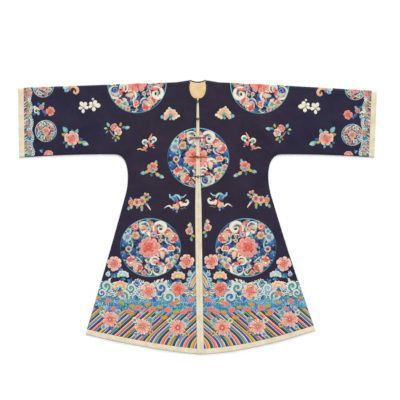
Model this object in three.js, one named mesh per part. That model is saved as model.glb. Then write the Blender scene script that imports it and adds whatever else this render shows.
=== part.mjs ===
// A woman's embroidered surcoat in the Qing cut, laid out flat and buttoned.
//
// Draft frame, in millimetres: x = 0 on the neck's centre line, y = 0 on the shoulder line, the hem at
// negative y, and z = 0 on the surface that the coat lies on. Left and right are the viewer's, and u is the
// distance out from the front opening, on either side. The finished group is moved so that its origin is
// the centre of the underside.
//
// Each body half is cut in one: front, back and upper sleeve, folded over at the shoulder. A sleeve end and
// a cuff edging go on as flat tubes, and cream silk edges the fronts and the hem.
import * as THREE from "three";

// Cloth
const wall = 2.0; // satin with its silk lining
const layerGap = 0.5; // between the front and the back layer
const seamGap = 0.3; // between neighbouring pieces
const frontBase = wall + layerGap; // underside of the front layer where it lies flat
const liningWall = 1.0;

// Shoulder, neck and hem
const neckPoint = { u: 42, y: 6 }; // where the shoulder fold meets the neckline
const frontNeckDepth = -91;
const backNeckDepth = -4.5;
const neckHalfWidth = 49;
const hemDepth = -1400; // at the front opening
const openingLean = { neck: 1, hem: 15 }; // how far right of centre the opening lies
const neckLift = 2.2; // the fronts ride up over the lining at the neck
const neckLiftReach = 75;

// Side seam, underarm and sleeve
const hip = { u: 379, y: -605 };
const underarmPull = [
  { u: 345, y: -500 },
  { u: 350, y: -370 },
];
const armpit = { u: 428, y: -370 };
const sleeveSeam = 600;
const chestTop = -640; // where the sections begin to turn round the underarm

// The two sides lie a little differently: the cuff's top and foot, the shoulder's fall, the hem's corner,
// and how fast the hem rises towards it.
const sides = {
  left: {
    sign: -1,
    cuffTop: { u: 924, y: -33 },
    shoulderPower: 1.0,
    cuffFoot: { u: 920, y: -387 },
    hemCorner: { u: 588, y: -1298 },
    hemPower: 1.35,
  },
  right: {
    sign: 1,
    cuffTop: { u: 922, y: -49 },
    shoulderPower: 1.15,
    cuffFoot: { u: 907, y: -386 },
    hemCorner: { u: 592, y: -1278 },
    hemPower: 1.6,
  },
};

// Edgings
const hemEdging = 26;
const cuffEdging = 28;
const frontEdging = [
  { y: -91, width: 4.5 },
  { y: -190, width: 7 },
  { y: -400, width: 8.5 },
  { y: -520, width: 13 },
  { y: -600, width: 16 },
  { y: -1410, width: 18 },
];
const bindingHalfWidth = 2.6;
const bindingHalfHeight = 1.4;
const bindingGap = 0.8; // its round edge keeps clear of the neckline's short straight cuts

// Closures: a bar of folded silk on each front, from the button out, and how steeply each rises outwards.
const closures = [
  { y: -101, left: 16, right: 16, leftRise: 0, rightRise: 0 },
  { y: -191, left: 24, right: 22, leftRise: 0, rightRise: 0 },
  { y: -289, left: 44, right: 41, leftRise: 1, rightRise: 2 },
  { y: -387, left: 48, right: 49, leftRise: 0, rightRise: 0 },
  { y: -488, left: 53, right: 64, leftRise: 7, rightRise: 11 },
];
const buttonRadius = 4;
const barHalfWidth = 2.3;
const barHeight = 1.6;
const ringRadius = 6.6;
const ringHole = 4.7;
const laidGap = 0.6; // under what lies on the fronts

// Sections of a body half run from the side seam, the underarm and the sleeve's foot to the front opening,
// the neckline and the shoulder. Each stretch has its rows and its part of the underarm curve. Within the
// neck's stretch the front neckline's curve ends at one share, and the back neckline starts at the other.
const stretches = [
  { name: "skirt", rows: 8, underarmFrom: 0, underarmTo: 0 },
  { name: "chest", rows: 5, underarmFrom: 0, underarmTo: 0.4 },
  { name: "neck", rows: 7, underarmFrom: 0.4, underarmTo: 0.58 },
  { name: "shoulder", rows: 6, underarmFrom: 0.58, underarmTo: 1 },
  { name: "sleeve", rows: 2, underarmFrom: 1, underarmTo: 1 },
];
const cellsAcross = 10;
const frontNeckEnd = 6 / 7;
const backNeckStart = 4 / 7;

// Soft folds of the front layer: from (x, y) towards (toX, toY), with a half-width and a height.
const folds = [
  { x: -395, y: -352, toX: -240, toY: -140, width: 44, height: 3.4 },
  { x: -440, y: -335, toX: -570, toY: -110, width: 46, height: 3.0 },
  { x: -372, y: -440, toX: -170, toY: -560, width: 44, height: 2.8 },
  { x: 398, y: -350, toX: 265, toY: -130, width: 44, height: 3.2 },
  { x: 455, y: -330, toX: 610, toY: -100, width: 46, height: 3.2 },
  { x: 366, y: -450, toX: 180, toY: -600, width: 42, height: 2.6 },
  { x: -480, y: -230, toX: -880, toY: -215, width: 46, height: 2.4 },
  { x: 520, y: -250, toX: 890, toY: -205, width: 46, height: 2.6 },
  { x: -300, y: -640, toX: -430, toY: -1320, width: 60, height: 3.4 },
  { x: -150, y: -760, toX: -205, toY: -1370, width: 55, height: 2.4 },
  { x: 275, y: -620, toX: 420, toY: -1300, width: 62, height: 3.6 },
  { x: 130, y: -800, toX: 190, toY: -1370, width: 55, height: 2.2 },
  { x: -210, y: -300, toX: -120, toY: -660, width: 55, height: 2.0 },
  { x: 225, y: -330, toX: 150, toY: -700, width: 55, height: 1.8 },
];

const lerp = THREE.MathUtils.lerp;

// A place on the plan, (u, y) out from the front opening.
function plan(side, u, y) {
  const lean = lerp(openingLean.neck, openingLean.hem, (y / hemDepth) ** 2);
  return new THREE.Vector2(side.sign * u + lean, y);
}

// Height of the front layer's underside.
function frontUnderside(p) {
  let lift = neckLift * Math.exp(-p.distanceToSquared(new THREE.Vector2(0, -40)) / neckLiftReach ** 2);
  for (const f of folds) {
    const foot = new THREE.Vector2(f.x, f.y);
    const run = new THREE.Vector2(f.toX, f.toY).sub(foot);
    const along = THREE.MathUtils.clamp(p.clone().sub(foot).dot(run) / run.lengthSq(), 0, 1);
    const off = p.distanceTo(foot.addScaledVector(run, along));
    const taper = Math.sin(Math.PI * (0.12 + 0.76 * along));
    lift += f.height * taper * Math.exp(-((off / f.width) ** 2));
  }
  return frontBase + lift;
}

// A wall of cloth. Each point has a place on the outer face and one on the inner face; cells join four
// points, and every open edge gets a rim.
class Wall {
  constructor() {
    this.outer = [];
    this.inner = [];
    this.cells = [];
  }

  point(outer, inner) {
    this.outer.push(outer);
    this.inner.push(inner);
    return this.outer.length - 1;
  }

  // Joins neighbouring rows of points, which all go the same way.
  join(rows) {
    for (let k = 0; k + 1 < rows.length; k++) {
      const [a, b] = [rows[k], rows[k + 1]];
      for (let i = 0; i + 1 < a.length; i++) this.cells.push([a[i], a[i + 1], b[i + 1], b[i]]);
    }
  }

  geometry() {
    const count = this.outer.length;
    const triangles = [];
    const open = new Map();
    for (const cell of this.cells) {
      const [a, b, c, d] = cell;
      triangles.push([a, b, c], [a, c, d]);
      triangles.push([a + count, c + count, b + count], [a + count, d + count, c + count]);
      cell.forEach((from, i) => {
        const to = cell[(i + 1) % 4];
        if (!open.delete(to + "," + from)) open.set(from + "," + to, [from, to]);
      });
    }
    for (const [from, to] of open.values()) {
      triangles.push([to, from, from + count], [to, from + count, to + count]);
    }
    return closed([...this.outer, ...this.inner], triangles);
  }
}

// A geometry of these points and triangles, with its faces turned outwards.
function closed(points, triangles) {
  const volume = triangles.reduce((sum, [a, b, c]) => {
    return sum + points[a].dot(new THREE.Vector3().crossVectors(points[b], points[c]));
  }, 0);
  const faces = volume < 0 ? triangles.map(([a, b, c]) => [a, c, b]) : triangles;
  const geometry = new THREE.BufferGeometry();
  geometry.setFromPoints(points);
  geometry.setIndex(faces.flat());
  return geometry;
}

function at(p, z) {
  return new THREE.Vector3(p.x, p.y, z);
}

function frontPoint(cloth, p) {
  const z = frontUnderside(p);
  return cloth.point(at(p, z + wall), at(p, z));
}

function backPoint(cloth, p) {
  return cloth.point(at(p, 0), at(p, wall));
}

// The two rows of points that carry a folded edge from the front layer round to the back layer. out is the
// way the fold faces at each point.
function foldRows(cloth, places, outs) {
  return [1 / 3, 2 / 3].map((share) =>
    places.map((p, i) => {
      const underside = frontUnderside(p);
      const middle = (underside + wall) / 2;
      const swell = middle * Math.sin(Math.PI * share);
      const edge = p.clone().addScaledVector(outs[i], swell);
      const seat = p.clone().addScaledVector(outs[i], 0.2);
      return cloth.point(
        at(edge, middle * (1 + Math.cos(Math.PI * share))),
        at(seat, lerp(underside, wall, share)),
      );
    }),
  );
}

// Directions that point out of a row of places, to the left of its run or to the right.
function outwards(places, turn) {
  return places.map((_, i) => {
    const before = places[Math.max(i - 1, 0)];
    const after = places[Math.min(i + 1, places.length - 1)];
    const run = after.clone().sub(before).normalize();
    return new THREE.Vector2(-run.y, run.x).multiplyScalar(turn);
  });
}

function shoulderY(side, u) {
  const rise = neckPoint.y - side.cuffTop.y * (neckPoint.u / side.cuffTop.u) ** side.shoulderPower;
  const fall = side.cuffTop.y * (u / side.cuffTop.u) ** side.shoulderPower;
  return fall + rise * Math.exp(-(((u - neckPoint.u) / 22) ** 2));
}

function sleeveFootY(side, u) {
  return lerp(armpit.y, side.cuffFoot.y, ((u - armpit.u) / (side.cuffFoot.u - armpit.u)) ** 2);
}

function sideSeamU(side, y) {
  return lerp(hip.u, side.hemCorner.u, (y - hip.y) / (side.hemCorner.y - hip.y));
}

function hemY(side, u) {
  return lerp(hemDepth, side.hemCorner.y, Math.min(u / side.hemCorner.u, 1) ** side.hemPower);
}

function frontEdgingWidth(y) {
  const below = frontEdging.findIndex((row) => row.y <= y);
  if (below < 1) return frontEdging.at(below).width;
  const [high, low] = [frontEdging[below - 1], frontEdging[below]];
  return lerp(high.width, low.width, (high.y - y) / (high.y - low.y));
}

function frontEdge(y) {
  return { u: frontEdgingWidth(y) + seamGap, y };
}

const underarm = new THREE.CubicBezierCurve(
  new THREE.Vector2(hip.u, hip.y),
  new THREE.Vector2(underarmPull[0].u, underarmPull[0].y),
  new THREE.Vector2(underarmPull[1].u, underarmPull[1].y),
  new THREE.Vector2(armpit.u, armpit.y),
);
const frontNeck = new THREE.CubicBezierCurve(
  new THREE.Vector2(frontEdge(frontNeckDepth).u, frontNeckDepth),
  new THREE.Vector2(neckHalfWidth * 0.72, frontNeckDepth - 2),
  new THREE.Vector2(neckHalfWidth * 1.06, frontNeckDepth * 0.62),
  new THREE.Vector2(neckHalfWidth * 0.97, -14),
);

function backNeckY(u) {
  return lerp(backNeckDepth, neckPoint.y, (u / neckPoint.u) ** 2);
}

// Both ends of a section, as (u, y): the one at the side, and the ones at the middle or the shoulder, which
// the front and the back layer have each for themselves. t runs up its stretch from 0 to 1.
function sectionEnds(side, stretch, t) {
  if (stretch.name === "skirt") {
    const foot = side.hemCorner.y + hemEdging;
    const y = lerp(hemDepth + hemEdging, chestTop, t);
    const inner = { u: lerp(sideSeamU(side, foot), hip.u, t), y: lerp(foot, hip.y, t) };
    return { inner, front: frontEdge(y), back: { u: seamGap / 2, y } };
  }
  if (stretch.name === "sleeve") {
    const u = lerp(armpit.u, sleeveSeam, t);
    const shoulder = { u, y: shoulderY(side, u) };
    return { inner: { u, y: sleeveFootY(side, u) }, front: shoulder, back: shoulder };
  }
  const p = underarm.getPointAt(lerp(stretch.underarmFrom, stretch.underarmTo, t));
  const inner = { u: p.x, y: p.y };
  if (stretch.name === "chest") {
    const y = lerp(chestTop, frontNeckDepth, t);
    return { inner, front: frontEdge(y), back: { u: seamGap / 2, y } };
  }
  if (stretch.name === "neck") {
    const onBackNeck = Math.max((t - backNeckStart) / (1 - backNeckStart), 0);
    const onFront = t < 1 ? frontNeck.getPointAt(Math.min(t / frontNeckEnd, 1)) : neckPoint;
    const u = lerp(seamGap / 2, neckPoint.u, onBackNeck);
    const y = onBackNeck ? backNeckY(u) : lerp(frontNeckDepth, backNeckDepth, t / backNeckStart);
    return { inner, front: { u: onFront.x ?? onFront.u, y: onFront.y }, back: { u, y } };
  }
  const u = lerp(neckPoint.u, armpit.u, t);
  const shoulder = { u, y: shoulderY(side, u) };
  return { inner, front: shoulder, back: shoulder };
}

// All sections of a body half, from the hem up and out to the sleeve seam. hemPull is how far a section
// takes the hem's curve.
function sections(side) {
  const list = [];
  for (const stretch of stretches) {
    for (let i = list.length ? 1 : 0; i <= stretch.rows; i++) {
      const t = i / stretch.rows;
      const hemPull = stretch.name === "skirt" ? 1 - t : 0;
      list.push({ stretch: stretch.name, hemPull, ...sectionEnds(side, stretch, t) });
    }
  }
  return list;
}

// One place on a section of the front or the back layer.
function onSection(side, section, share, layer) {
  const end = section[layer];
  const u = lerp(section.inner.u, end.u, share);
  const bend = hemY(side, u) - lerp(side.hemCorner.y, hemDepth, share);
  return plan(side, u, lerp(section.inner.y, end.y, share) + bend * section.hemPull);
}

const shares = Array.from({ length: cellsAcross + 1 }, (_, j) => j / cellsAcross);

// Front, back and upper sleeve in one, folded at the shoulder and sewn at the side.
function bodyHalf(side) {
  const cloth = new Wall();
  const list = sections(side);
  const front = list.map((s) => shares.map((t) => frontPoint(cloth, onSection(side, s, t, "front"))));
  const back = list.map((s) => shares.map((t) => backPoint(cloth, onSection(side, s, t, "back"))));
  cloth.join(front);
  cloth.join(back.map((row) => [...row].reverse()));

  const seam = list.map((s) => onSection(side, s, 0, "front"));
  const seamRows = foldRows(cloth, seam, outwards(seam, -side.sign));
  cloth.join([front.map((row) => row[0]), ...seamRows, back.map((row) => row[0])]);

  const first = list.findIndex((s) => s.stretch === "shoulder") - 1; // at the neck point
  const shoulder = list.slice(first).map((s) => onSection(side, s, 1, "front"));
  const shoulderRows = foldRows(cloth, shoulder, outwards(shoulder, side.sign));
  const ends = (layer) => layer.slice(first).map((row) => row.at(-1));
  cloth.join([ends(back), ...shoulderRows.reverse(), ends(front)]);
  return cloth.geometry();
}

// A line across the sleeve, some way in from its end: how far out it lies at its top and at its foot.
function cuffLine(side, back) {
  return { topU: side.cuffTop.u - back, footU: side.cuffFoot.u - back };
}

// A flat tube of cloth between two lines across the sleeve.
function sleeveTube(side, from, to, rows) {
  const cloth = new Wall();
  const cells = 6;
  const rings = Array.from({ length: rows + 1 }, (_, i) => {
    const topU = lerp(from.topU, to.topU, i / rows);
    const footU = lerp(from.footU, to.footU, i / rows);
    const top = plan(side, topU, shoulderY(side, topU));
    const foot = plan(side, footU, sleeveFootY(side, footU));
    const places = Array.from({ length: cells + 1 }, (_, j) => foot.clone().lerp(top, j / cells));
    return { places, up: top.clone().sub(foot).normalize() };
  });
  const edge = (which) => rings.map((ring) => ring.places.at(which));
  const top = foldRows(cloth, edge(-1), rings.map((ring) => ring.up));
  const foot = foldRows(cloth, edge(0), rings.map((ring) => ring.up.clone().negate()));
  const loops = rings.map((ring, i) => {
    const front = ring.places.map((p) => frontPoint(cloth, p));
    const back = ring.places.map((p) => backPoint(cloth, p)).reverse();
    return [...front, top[0][i], top[1][i], ...back, foot[1][i], foot[0][i], front[0]];
  });
  cloth.join(loops);
  return cloth.geometry();
}

// Edging of the hem, from the front opening round the side to the centre back.
function hemBand(side) {
  const cloth = new Wall();
  const lines = [hemEdging - seamGap, hemEdging / 2, 0].map((up) => {
    const cornerU = sideSeamU(side, side.hemCorner.y + up);
    const place = (share, endU) => {
      const u = lerp(cornerU, endU, share);
      return plan(side, u, hemY(side, u) + up);
    };
    const front = shares.map((t) => place(t, frontEdge(hemDepth).u)).reverse();
    return { front, back: shares.map((t) => place(t, seamGap / 2)) };
  });
  const corner = lines.map((line) => line.back[0]);
  const fold = foldRows(cloth, corner, outwards(corner, side.sign));
  cloth.join(
    lines.map((line, i) => {
      const front = line.front.map((p) => frontPoint(cloth, p));
      const back = line.back.map((p) => backPoint(cloth, p));
      return [...front, fold[0][i], fold[1][i], ...back];
    }),
  );
  return cloth.geometry();
}

// Edging of one front, from the hem up to the neck, with its rows where the body's sections end.
function frontBand(side) {
  const cloth = new Wall();
  const beside = sections(side).filter((s) => s.stretch === "skirt" || s.stretch === "chest");
  const heights = [hemDepth, ...beside.map((s) => s.front.y)];
  cloth.join(
    heights.map((y) => {
      const width = frontEdgingWidth(y);
      return [seamGap / 2, width / 2, width].map((u) => frontPoint(cloth, plan(side, u, y)));
    }),
  );
  return cloth.geometry();
}

// Cream lining of the back, where the neckline leaves it bare. It reaches a little under the fronts.
function neckLining() {
  const cloth = new Wall();
  const underFronts = 5;
  const rows = 7;
  const cells = 8;
  const rowAt = (u, y, topBend) =>
    Array.from({ length: cells + 1 }, (_, j) => {
      const across = lerp(-u, u, j / cells);
      const p = new THREE.Vector3(across + openingLean.neck, y + topBend * (across / u) ** 2, wall + seamGap);
      return cloth.point(p.clone().setZ(p.z + liningWall), p);
    });
  const lines = Array.from({ length: rows + 1 }, (_, i) => {
    const [n, run] = [frontNeck.getPointAt(i / rows), frontNeck.getTangentAt(i / rows)];
    return rowAt(n.x + run.y * underFronts + 1, n.y - run.x * underFronts, 0);
  });
  const top = { u: neckPoint.u - 3, rise: backNeckY(neckPoint.u - 3) - backNeckDepth };
  lines.push(rowAt(top.u, backNeckDepth - 1, top.rise));
  cloth.join(lines);
  return cloth.geometry();
}

// A round binding along a line of points.
function piping(points) {
  const section = new THREE.Shape();
  section.absellipse(0, 0, bindingHalfHeight, bindingHalfWidth, 0, 2 * Math.PI, false, 0);
  return new THREE.ExtrudeGeometry(section, {
    curveSegments: 4,
    steps: points.length * 2,
    extrudePath: new THREE.CatmullRomCurve3(points, false, "centripetal"),
  });
}

// Binding of one front's neckline, just inside its edge.
function frontBinding(side) {
  const onCurve = Array.from({ length: 7 }, (_, i) => frontNeck.getPointAt(i / 6));
  const top = onCurve.at(-1).clone().lerp(new THREE.Vector2(neckPoint.u, neckPoint.y), 0.7);
  const places = [...onCurve, top].map((p) => plan(side, p.x, p.y));
  const inwards = outwards(places, side.sign);
  return piping(
    places.map((p, i) => {
      const z = frontUnderside(p) + bindingHalfHeight;
      return at(p.clone().addScaledVector(inwards[i], bindingHalfWidth + bindingGap), z);
    }),
  );
}

// Binding of the back neckline, along its cut edge.
function backBinding() {
  const reach = neckPoint.u - 1.5;
  return piping(
    Array.from({ length: 6 }, (_, i) => {
      const u = lerp(-reach, reach, i / 5);
      const y = backNeckY(Math.abs(u)) + bindingHalfWidth + bindingGap;
      return new THREE.Vector3(u + openingLean.neck, y, bindingHalfHeight);
    }),
  );
}

// A flat shape around a button, laid on the fronts: each point is moved out from the cloth below it.
function laidOn(shape, button, rise) {
  const settings = { depth: barHeight, bevelEnabled: false, curveSegments: 6 };
  const geometry = new THREE.ExtrudeGeometry(shape, settings);
  geometry.rotateZ(THREE.MathUtils.degToRad(rise));
  geometry.translate(button.x, button.y, 0);
  const points = geometry.attributes.position;
  for (let i = 0; i < points.count; i++) {
    const p = new THREE.Vector2(points.getX(i), points.getY(i));
    points.setZ(i, points.getZ(i) + frontUnderside(p) + wall + laidGap);
  }
  return geometry;
}

// A bar of folded silk with its loop, which goes round the button.
function loopBar(reach) {
  const shape = new THREE.Shape();
  const join = Math.asin(barHalfWidth / ringRadius);
  shape.absarc(0, 0, ringRadius, Math.PI + join, 3 * Math.PI - join, false);
  shape.lineTo(barHalfWidth - reach, barHalfWidth);
  shape.absarc(barHalfWidth - reach, 0, barHalfWidth, Math.PI / 2, (3 * Math.PI) / 2, false);
  const hole = new THREE.Path();
  hole.absarc(0, 0, ringHole, 0, 2 * Math.PI, true);
  shape.holes.push(hole);
  return shape;
}

// The bar on the other front, which carries the button.
function buttonBar(reach) {
  const shape = new THREE.Shape();
  const near = ringRadius + laidGap + barHalfWidth;
  shape.absarc(near, 0, barHalfWidth, Math.PI / 2, (3 * Math.PI) / 2, false);
  shape.absarc(reach - barHalfWidth, 0, barHalfWidth, -Math.PI / 2, Math.PI / 2, false);
  return shape;
}

function button(place) {
  const ball = new THREE.SphereGeometry(buttonRadius, 10, 6);
  const bottom = frontUnderside(place) + wall + laidGap;
  return ball.translate(place.x, place.y, bottom + buttonRadius);
}

const satin = new THREE.MeshStandardMaterial({ color: 0x332d3a, roughness: 0.5, metalness: 0 });
const creamSilk = new THREE.MeshStandardMaterial({ color: 0xeadcbd, roughness: 0.6, metalness: 0 });
const liningSilk = new THREE.MeshStandardMaterial({ color: 0xe6cb98, roughness: 0.55, metalness: 0 });
const darkCord = new THREE.MeshStandardMaterial({ color: 0x1d1a22, roughness: 0.6, metalness: 0 });
const brass = new THREE.MeshStandardMaterial({ color: 0xb59a4c, roughness: 0.35, metalness: 0.9 });

const coat = new THREE.Group();

function add(name, geometry, material) {
  const mesh = new THREE.Mesh(geometry, material);
  mesh.name = name;
  coat.add(mesh);
}

const sleeveStart = { topU: sleeveSeam + seamGap, footU: sleeveSeam + seamGap };
for (const [name, side] of Object.entries(sides)) {
  const sleeveFinish = cuffLine(side, cuffEdging);
  const cuffStart = cuffLine(side, cuffEdging - seamGap);
  add("body_" + name, bodyHalf(side), satin);
  add("sleeve_" + name, sleeveTube(side, sleeveStart, sleeveFinish, 4), satin);
  add("cuff_edging_" + name, sleeveTube(side, cuffStart, cuffLine(side, 0), 1), creamSilk);
  add("hem_edging_" + name, hemBand(side), creamSilk);
  add("front_edging_" + name, frontBand(side), creamSilk);
  add("neck_binding_" + name, frontBinding(side), darkCord);
}
add("neck_binding_back", backBinding(), darkCord);
add("neck_lining", neckLining(), liningSilk);

closures.forEach((row, i) => {
  const place = plan(sides.left, 0, row.y);
  const number = i + 1;
  add("loop_" + number, laidOn(loopBar(row.left), place, -row.leftRise), darkCord);
  add("button_bar_" + number, laidOn(buttonBar(row.right), place, row.rightRise), darkCord);
  add("button_" + number, button(place), brass);
});

const extent = new THREE.Box3().setFromObject(coat);
const centre = extent.getCenter(new THREE.Vector3());
coat.position.set(-centre.x, -centre.y, -extent.min.z);

export default coat;
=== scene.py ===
# Embroidered surcoat, laid out flat and buttoned: cloth, edgings, silk embroidery, floor, light and camera.
# Everything is drawn in millimetres on the coat's own plan: x = 0 on the neck's centre line, y = 0 on the
# shoulder line, the hem at negative y, z up from the floor. u is the distance out from the front opening.
import bpy
import bmesh
import math
import random
import numpy
from mathutils import Matrix, Vector, noise


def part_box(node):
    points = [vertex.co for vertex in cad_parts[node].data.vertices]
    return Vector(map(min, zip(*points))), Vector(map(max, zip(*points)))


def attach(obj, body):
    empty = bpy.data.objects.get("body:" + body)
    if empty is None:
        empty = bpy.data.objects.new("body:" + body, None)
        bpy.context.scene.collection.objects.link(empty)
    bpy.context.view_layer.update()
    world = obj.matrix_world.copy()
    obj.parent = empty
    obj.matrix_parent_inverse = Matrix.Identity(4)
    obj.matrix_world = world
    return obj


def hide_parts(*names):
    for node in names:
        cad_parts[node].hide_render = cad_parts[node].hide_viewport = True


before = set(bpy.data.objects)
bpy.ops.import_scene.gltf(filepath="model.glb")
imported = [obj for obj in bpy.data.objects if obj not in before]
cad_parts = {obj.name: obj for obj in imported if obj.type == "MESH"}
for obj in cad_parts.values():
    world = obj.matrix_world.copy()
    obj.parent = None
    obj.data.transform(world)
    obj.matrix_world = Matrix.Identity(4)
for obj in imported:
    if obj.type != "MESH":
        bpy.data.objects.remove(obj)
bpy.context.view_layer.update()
scene = bpy.context.scene
print("frame loaded,", len(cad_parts), "solids")


# Plan of the coat, as in the solids
plan = {
    "wall": 2.0,
    "frontBase": 2.5,
    "neckLift": 2.2,
    "neckLiftReach": 75,
    "neckPoint": (42, 6),
    "frontNeckDepth": -91,
    "hemDepth": -1400,
    "leanNeck": 1,
    "leanHem": 15,
    "hip": (379, -605),
    "armpit": (428, -370),
    "hemEdging": 26,
    "cuffEdging": 28,
    "frontEdging": [(-91, 4.5), (-190, 7), (-400, 8.5), (-520, 13), (-600, 16), (-1410, 18)],
}
sides = {
    "left": {
        "sign": -1,
        "cuffTop": (924, -33),
        "shoulderPower": 1.0,
        "cuffFoot": (920, -387),
        "hemCorner": (588, -1298),
        "hemPower": 1.35,
    },
    "right": {
        "sign": 1,
        "cuffTop": (922, -49),
        "shoulderPower": 1.15,
        "cuffFoot": (907, -386),
        "hemCorner": (592, -1278),
        "hemPower": 1.6,
    },
}


def lerp(a, b, t):
    return a + (b - a) * t


def clamp(value, low, high):
    return max(low, min(high, value))


def leanAt(y):
    return lerp(plan["leanNeck"], plan["leanHem"], (y / plan["hemDepth"]) ** 2)


# The middle of the first button stands at a known place of the plan, and ties the plan to the frame.
buttonLow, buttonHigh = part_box("button_1")
tieX = (buttonLow.x + buttonHigh.x) / 2 * 1000 - leanAt(-101)
tieY = (buttonLow.y + buttonHigh.y) / 2 * 1000 + 101
toFrame = Matrix.Scale(0.001, 4) @ Matrix.Translation((tieX, tieY, 0))
toPlan = toFrame.inverted()


def shoulderY(side, u):
    neckU, neckY = plan["neckPoint"]
    topU, topY = side["cuffTop"]
    rise = neckY - topY * (neckU / topU) ** side["shoulderPower"]
    fall = topY * (max(u, 0) / topU) ** side["shoulderPower"]
    return fall + rise * math.exp(-(((u - neckU) / 22) ** 2))


def sleeveFootY(side, u):
    armU, armY = plan["armpit"]
    footU, footY = side["cuffFoot"]
    return lerp(armY, footY, ((u - armU) / (footU - armU)) ** 2)


def sideSeamU(side, y):
    hipU, hipY = plan["hip"]
    cornerU, cornerY = side["hemCorner"]
    return lerp(hipU, cornerU, (y - hipY) / (cornerY - hipY))


def hemY(side, u):
    cornerU, cornerY = side["hemCorner"]
    return lerp(plan["hemDepth"], cornerY, clamp(u / cornerU, 0, 1) ** side["hemPower"])


def cuffU(side, y):
    topU, topY = side["cuffTop"]
    footU, footY = side["cuffFoot"]
    return lerp(footU, topU, (y - footY) / (topY - footY))


def frontEdgeU(y):
    rows = plan["frontEdging"]
    if y >= rows[0][0]:
        return rows[0][1]
    for (highY, highWidth), (lowY, lowWidth) in zip(rows, rows[1:]):
        if y >= lowY:
            return lerp(highWidth, lowWidth, (highY - y) / (highY - lowY))
    return rows[-1][1]


# Soft folds of the front layer, as in the solids: from (x, y) towards (toX, toY), half-width and height
folds = [
    (-395, -352, -240, -140, 44, 3.4),
    (-440, -335, -570, -110, 46, 3.0),
    (-372, -440, -170, -560, 44, 2.8),
    (398, -350, 265, -130, 44, 3.2),
    (455, -330, 610, -100, 46, 3.2),
    (366, -450, 180, -600, 42, 2.6),
    (-480, -230, -880, -215, 46, 2.4),
    (520, -250, 890, -205, 46, 2.6),
    (-300, -640, -430, -1320, 60, 3.4),
    (-150, -760, -205, -1370, 55, 2.4),
    (275, -620, 420, -1300, 62, 3.6),
    (130, -800, 190, -1370, 55, 2.2),
    (-210, -300, -120, -660, 55, 2.0),
    (225, -330, 150, -700, 55, 1.8),
]

# Creases that the hand leaves in laid silk, finer than the folds: the same six values
creases = [
    (-418, -362, -352, -262, 13, 1.4),
    (-432, -356, -402, -215, 11, 1.1),
    (-404, -374, -322, -328, 14, 1.2),
    (-446, -352, -474, -238, 12, 1.0),
    (-370, -452, -296, -472, 13, 1.0),
    (-376, -520, -306, -562, 13, 0.9),
    (-520, -350, -648, -326, 12, 0.9),
    (-620, -196, -786, -186, 14, 0.9),
    (-676, -330, -850, -344, 13, 0.8),
    (416, -360, 350, -268, 13, 1.4),
    (434, -352, 420, -222, 12, 1.1),
    (404, -374, 333, -343, 13, 1.2),
    (454, -350, 488, -248, 12, 1.0),
    (368, -458, 298, -494, 13, 1.0),
    (374, -538, 316, -592, 12, 0.9),
    (530, -352, 652, -320, 12, 0.9),
    (640, -188, 802, -206, 14, 0.9),
    (668, -344, 840, -330, 13, 0.8),
    (-74, -14, -122, -78, 17, 0.9),
    (76, -16, 130, -80, 17, 0.9),
    (-196, -190, -150, -262, 15, 0.7),
    (190, -196, 152, -270, 15, 0.7),
    (-332, -700, -370, -860, 18, 0.9),
    (318, -720, 352, -880, 18, 0.9),
    (-62, -590, -72, -860, 16, 0.8),
    (80, -600, 92, -850, 16, 0.8),
    (-176, -560, -228, -700, 17, 0.8),
    (186, -566, 224, -706, 17, 0.8),
]
lattice = {"x": -970.0, "y": -1440.0, "step": 5.0, "columns": 389, "rows": 301}


def ridges(x, y, rows, taperFrom, taperRun):
    lift = numpy.zeros_like(x)
    for fromX, fromY, toX, toY, width, height in rows:
        runX, runY = toX - fromX, toY - fromY
        along = ((x - fromX) * runX + (y - fromY) * runY) / (runX**2 + runY**2)
        along = numpy.clip(along, 0, 1)
        off = (x - fromX - runX * along) ** 2 + (y - fromY - runY * along) ** 2
        taper = numpy.sin(math.pi * (taperFrom + taperRun * along))
        lift += height * taper * numpy.exp(-off / width**2)
    return lift


def planHeights():
    xs = lattice["x"] + lattice["step"] * numpy.arange(lattice["columns"])
    ys = lattice["y"] + lattice["step"] * numpy.arange(lattice["rows"])
    x, y = numpy.meshgrid(xs, ys)
    neck = plan["neckLift"] * numpy.exp(-(x**2 + (y + 40) ** 2) / plan["neckLiftReach"] ** 2)
    solid = plan["frontBase"] + neck + ridges(x, y, folds, 0.12, 0.76)
    fine = ridges(x, y, creases, 0.06, 0.9)
    puckers = numpy.array([[noise.noise((px / 62, py / 48, 3.1)) for px in xs] for py in ys])
    front = numpy.maximum(solid + fine + 0.42 * puckers, 2.2)
    back = 0.72 + 0.2 * numpy.roll(puckers, 17, 1)
    return solid, front, back


solidHeights, frontHeights, backHeights = planHeights()


def heightIn(field, x, y):
    column = clamp((x - lattice["x"]) / lattice["step"], 0, lattice["columns"] - 1.001)
    row = clamp((y - lattice["y"]) / lattice["step"], 0, lattice["rows"] - 1.001)
    i, j = int(column), int(row)
    s, t = column - i, row - j
    low = field[j, i] * (1 - s) + field[j, i + 1] * s
    high = field[j + 1, i] * (1 - s) + field[j + 1, i + 1] * s
    return float(low * (1 - t) + high * t)


print("folds and creases laid")


# Materials
def hexColour(value):
    channels = [int(value[i : i + 2], 16) / 255 for i in (0, 2, 4)]
    linear = [c / 12.92 if c <= 0.04045 else ((c + 0.055) / 1.055) ** 2.4 for c in channels]
    return (*linear, 1.0)


def addNode(tree, kind, links=None, **settings):
    node = tree.nodes.new(kind)
    for name, value in settings.items():
        setattr(node, name, value)
    for name, value in (links or {}).items():
        socket = node.inputs[name]
        if isinstance(value, bpy.types.NodeSocket):
            tree.links.new(value, socket)
        else:
            socket.default_value = value
    return node


def newMaterial(name):
    material = bpy.data.materials.new(name)
    material.use_nodes = True
    shader = material.node_tree.nodes["Principled BSDF"]
    return material, material.node_tree, shader


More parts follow.
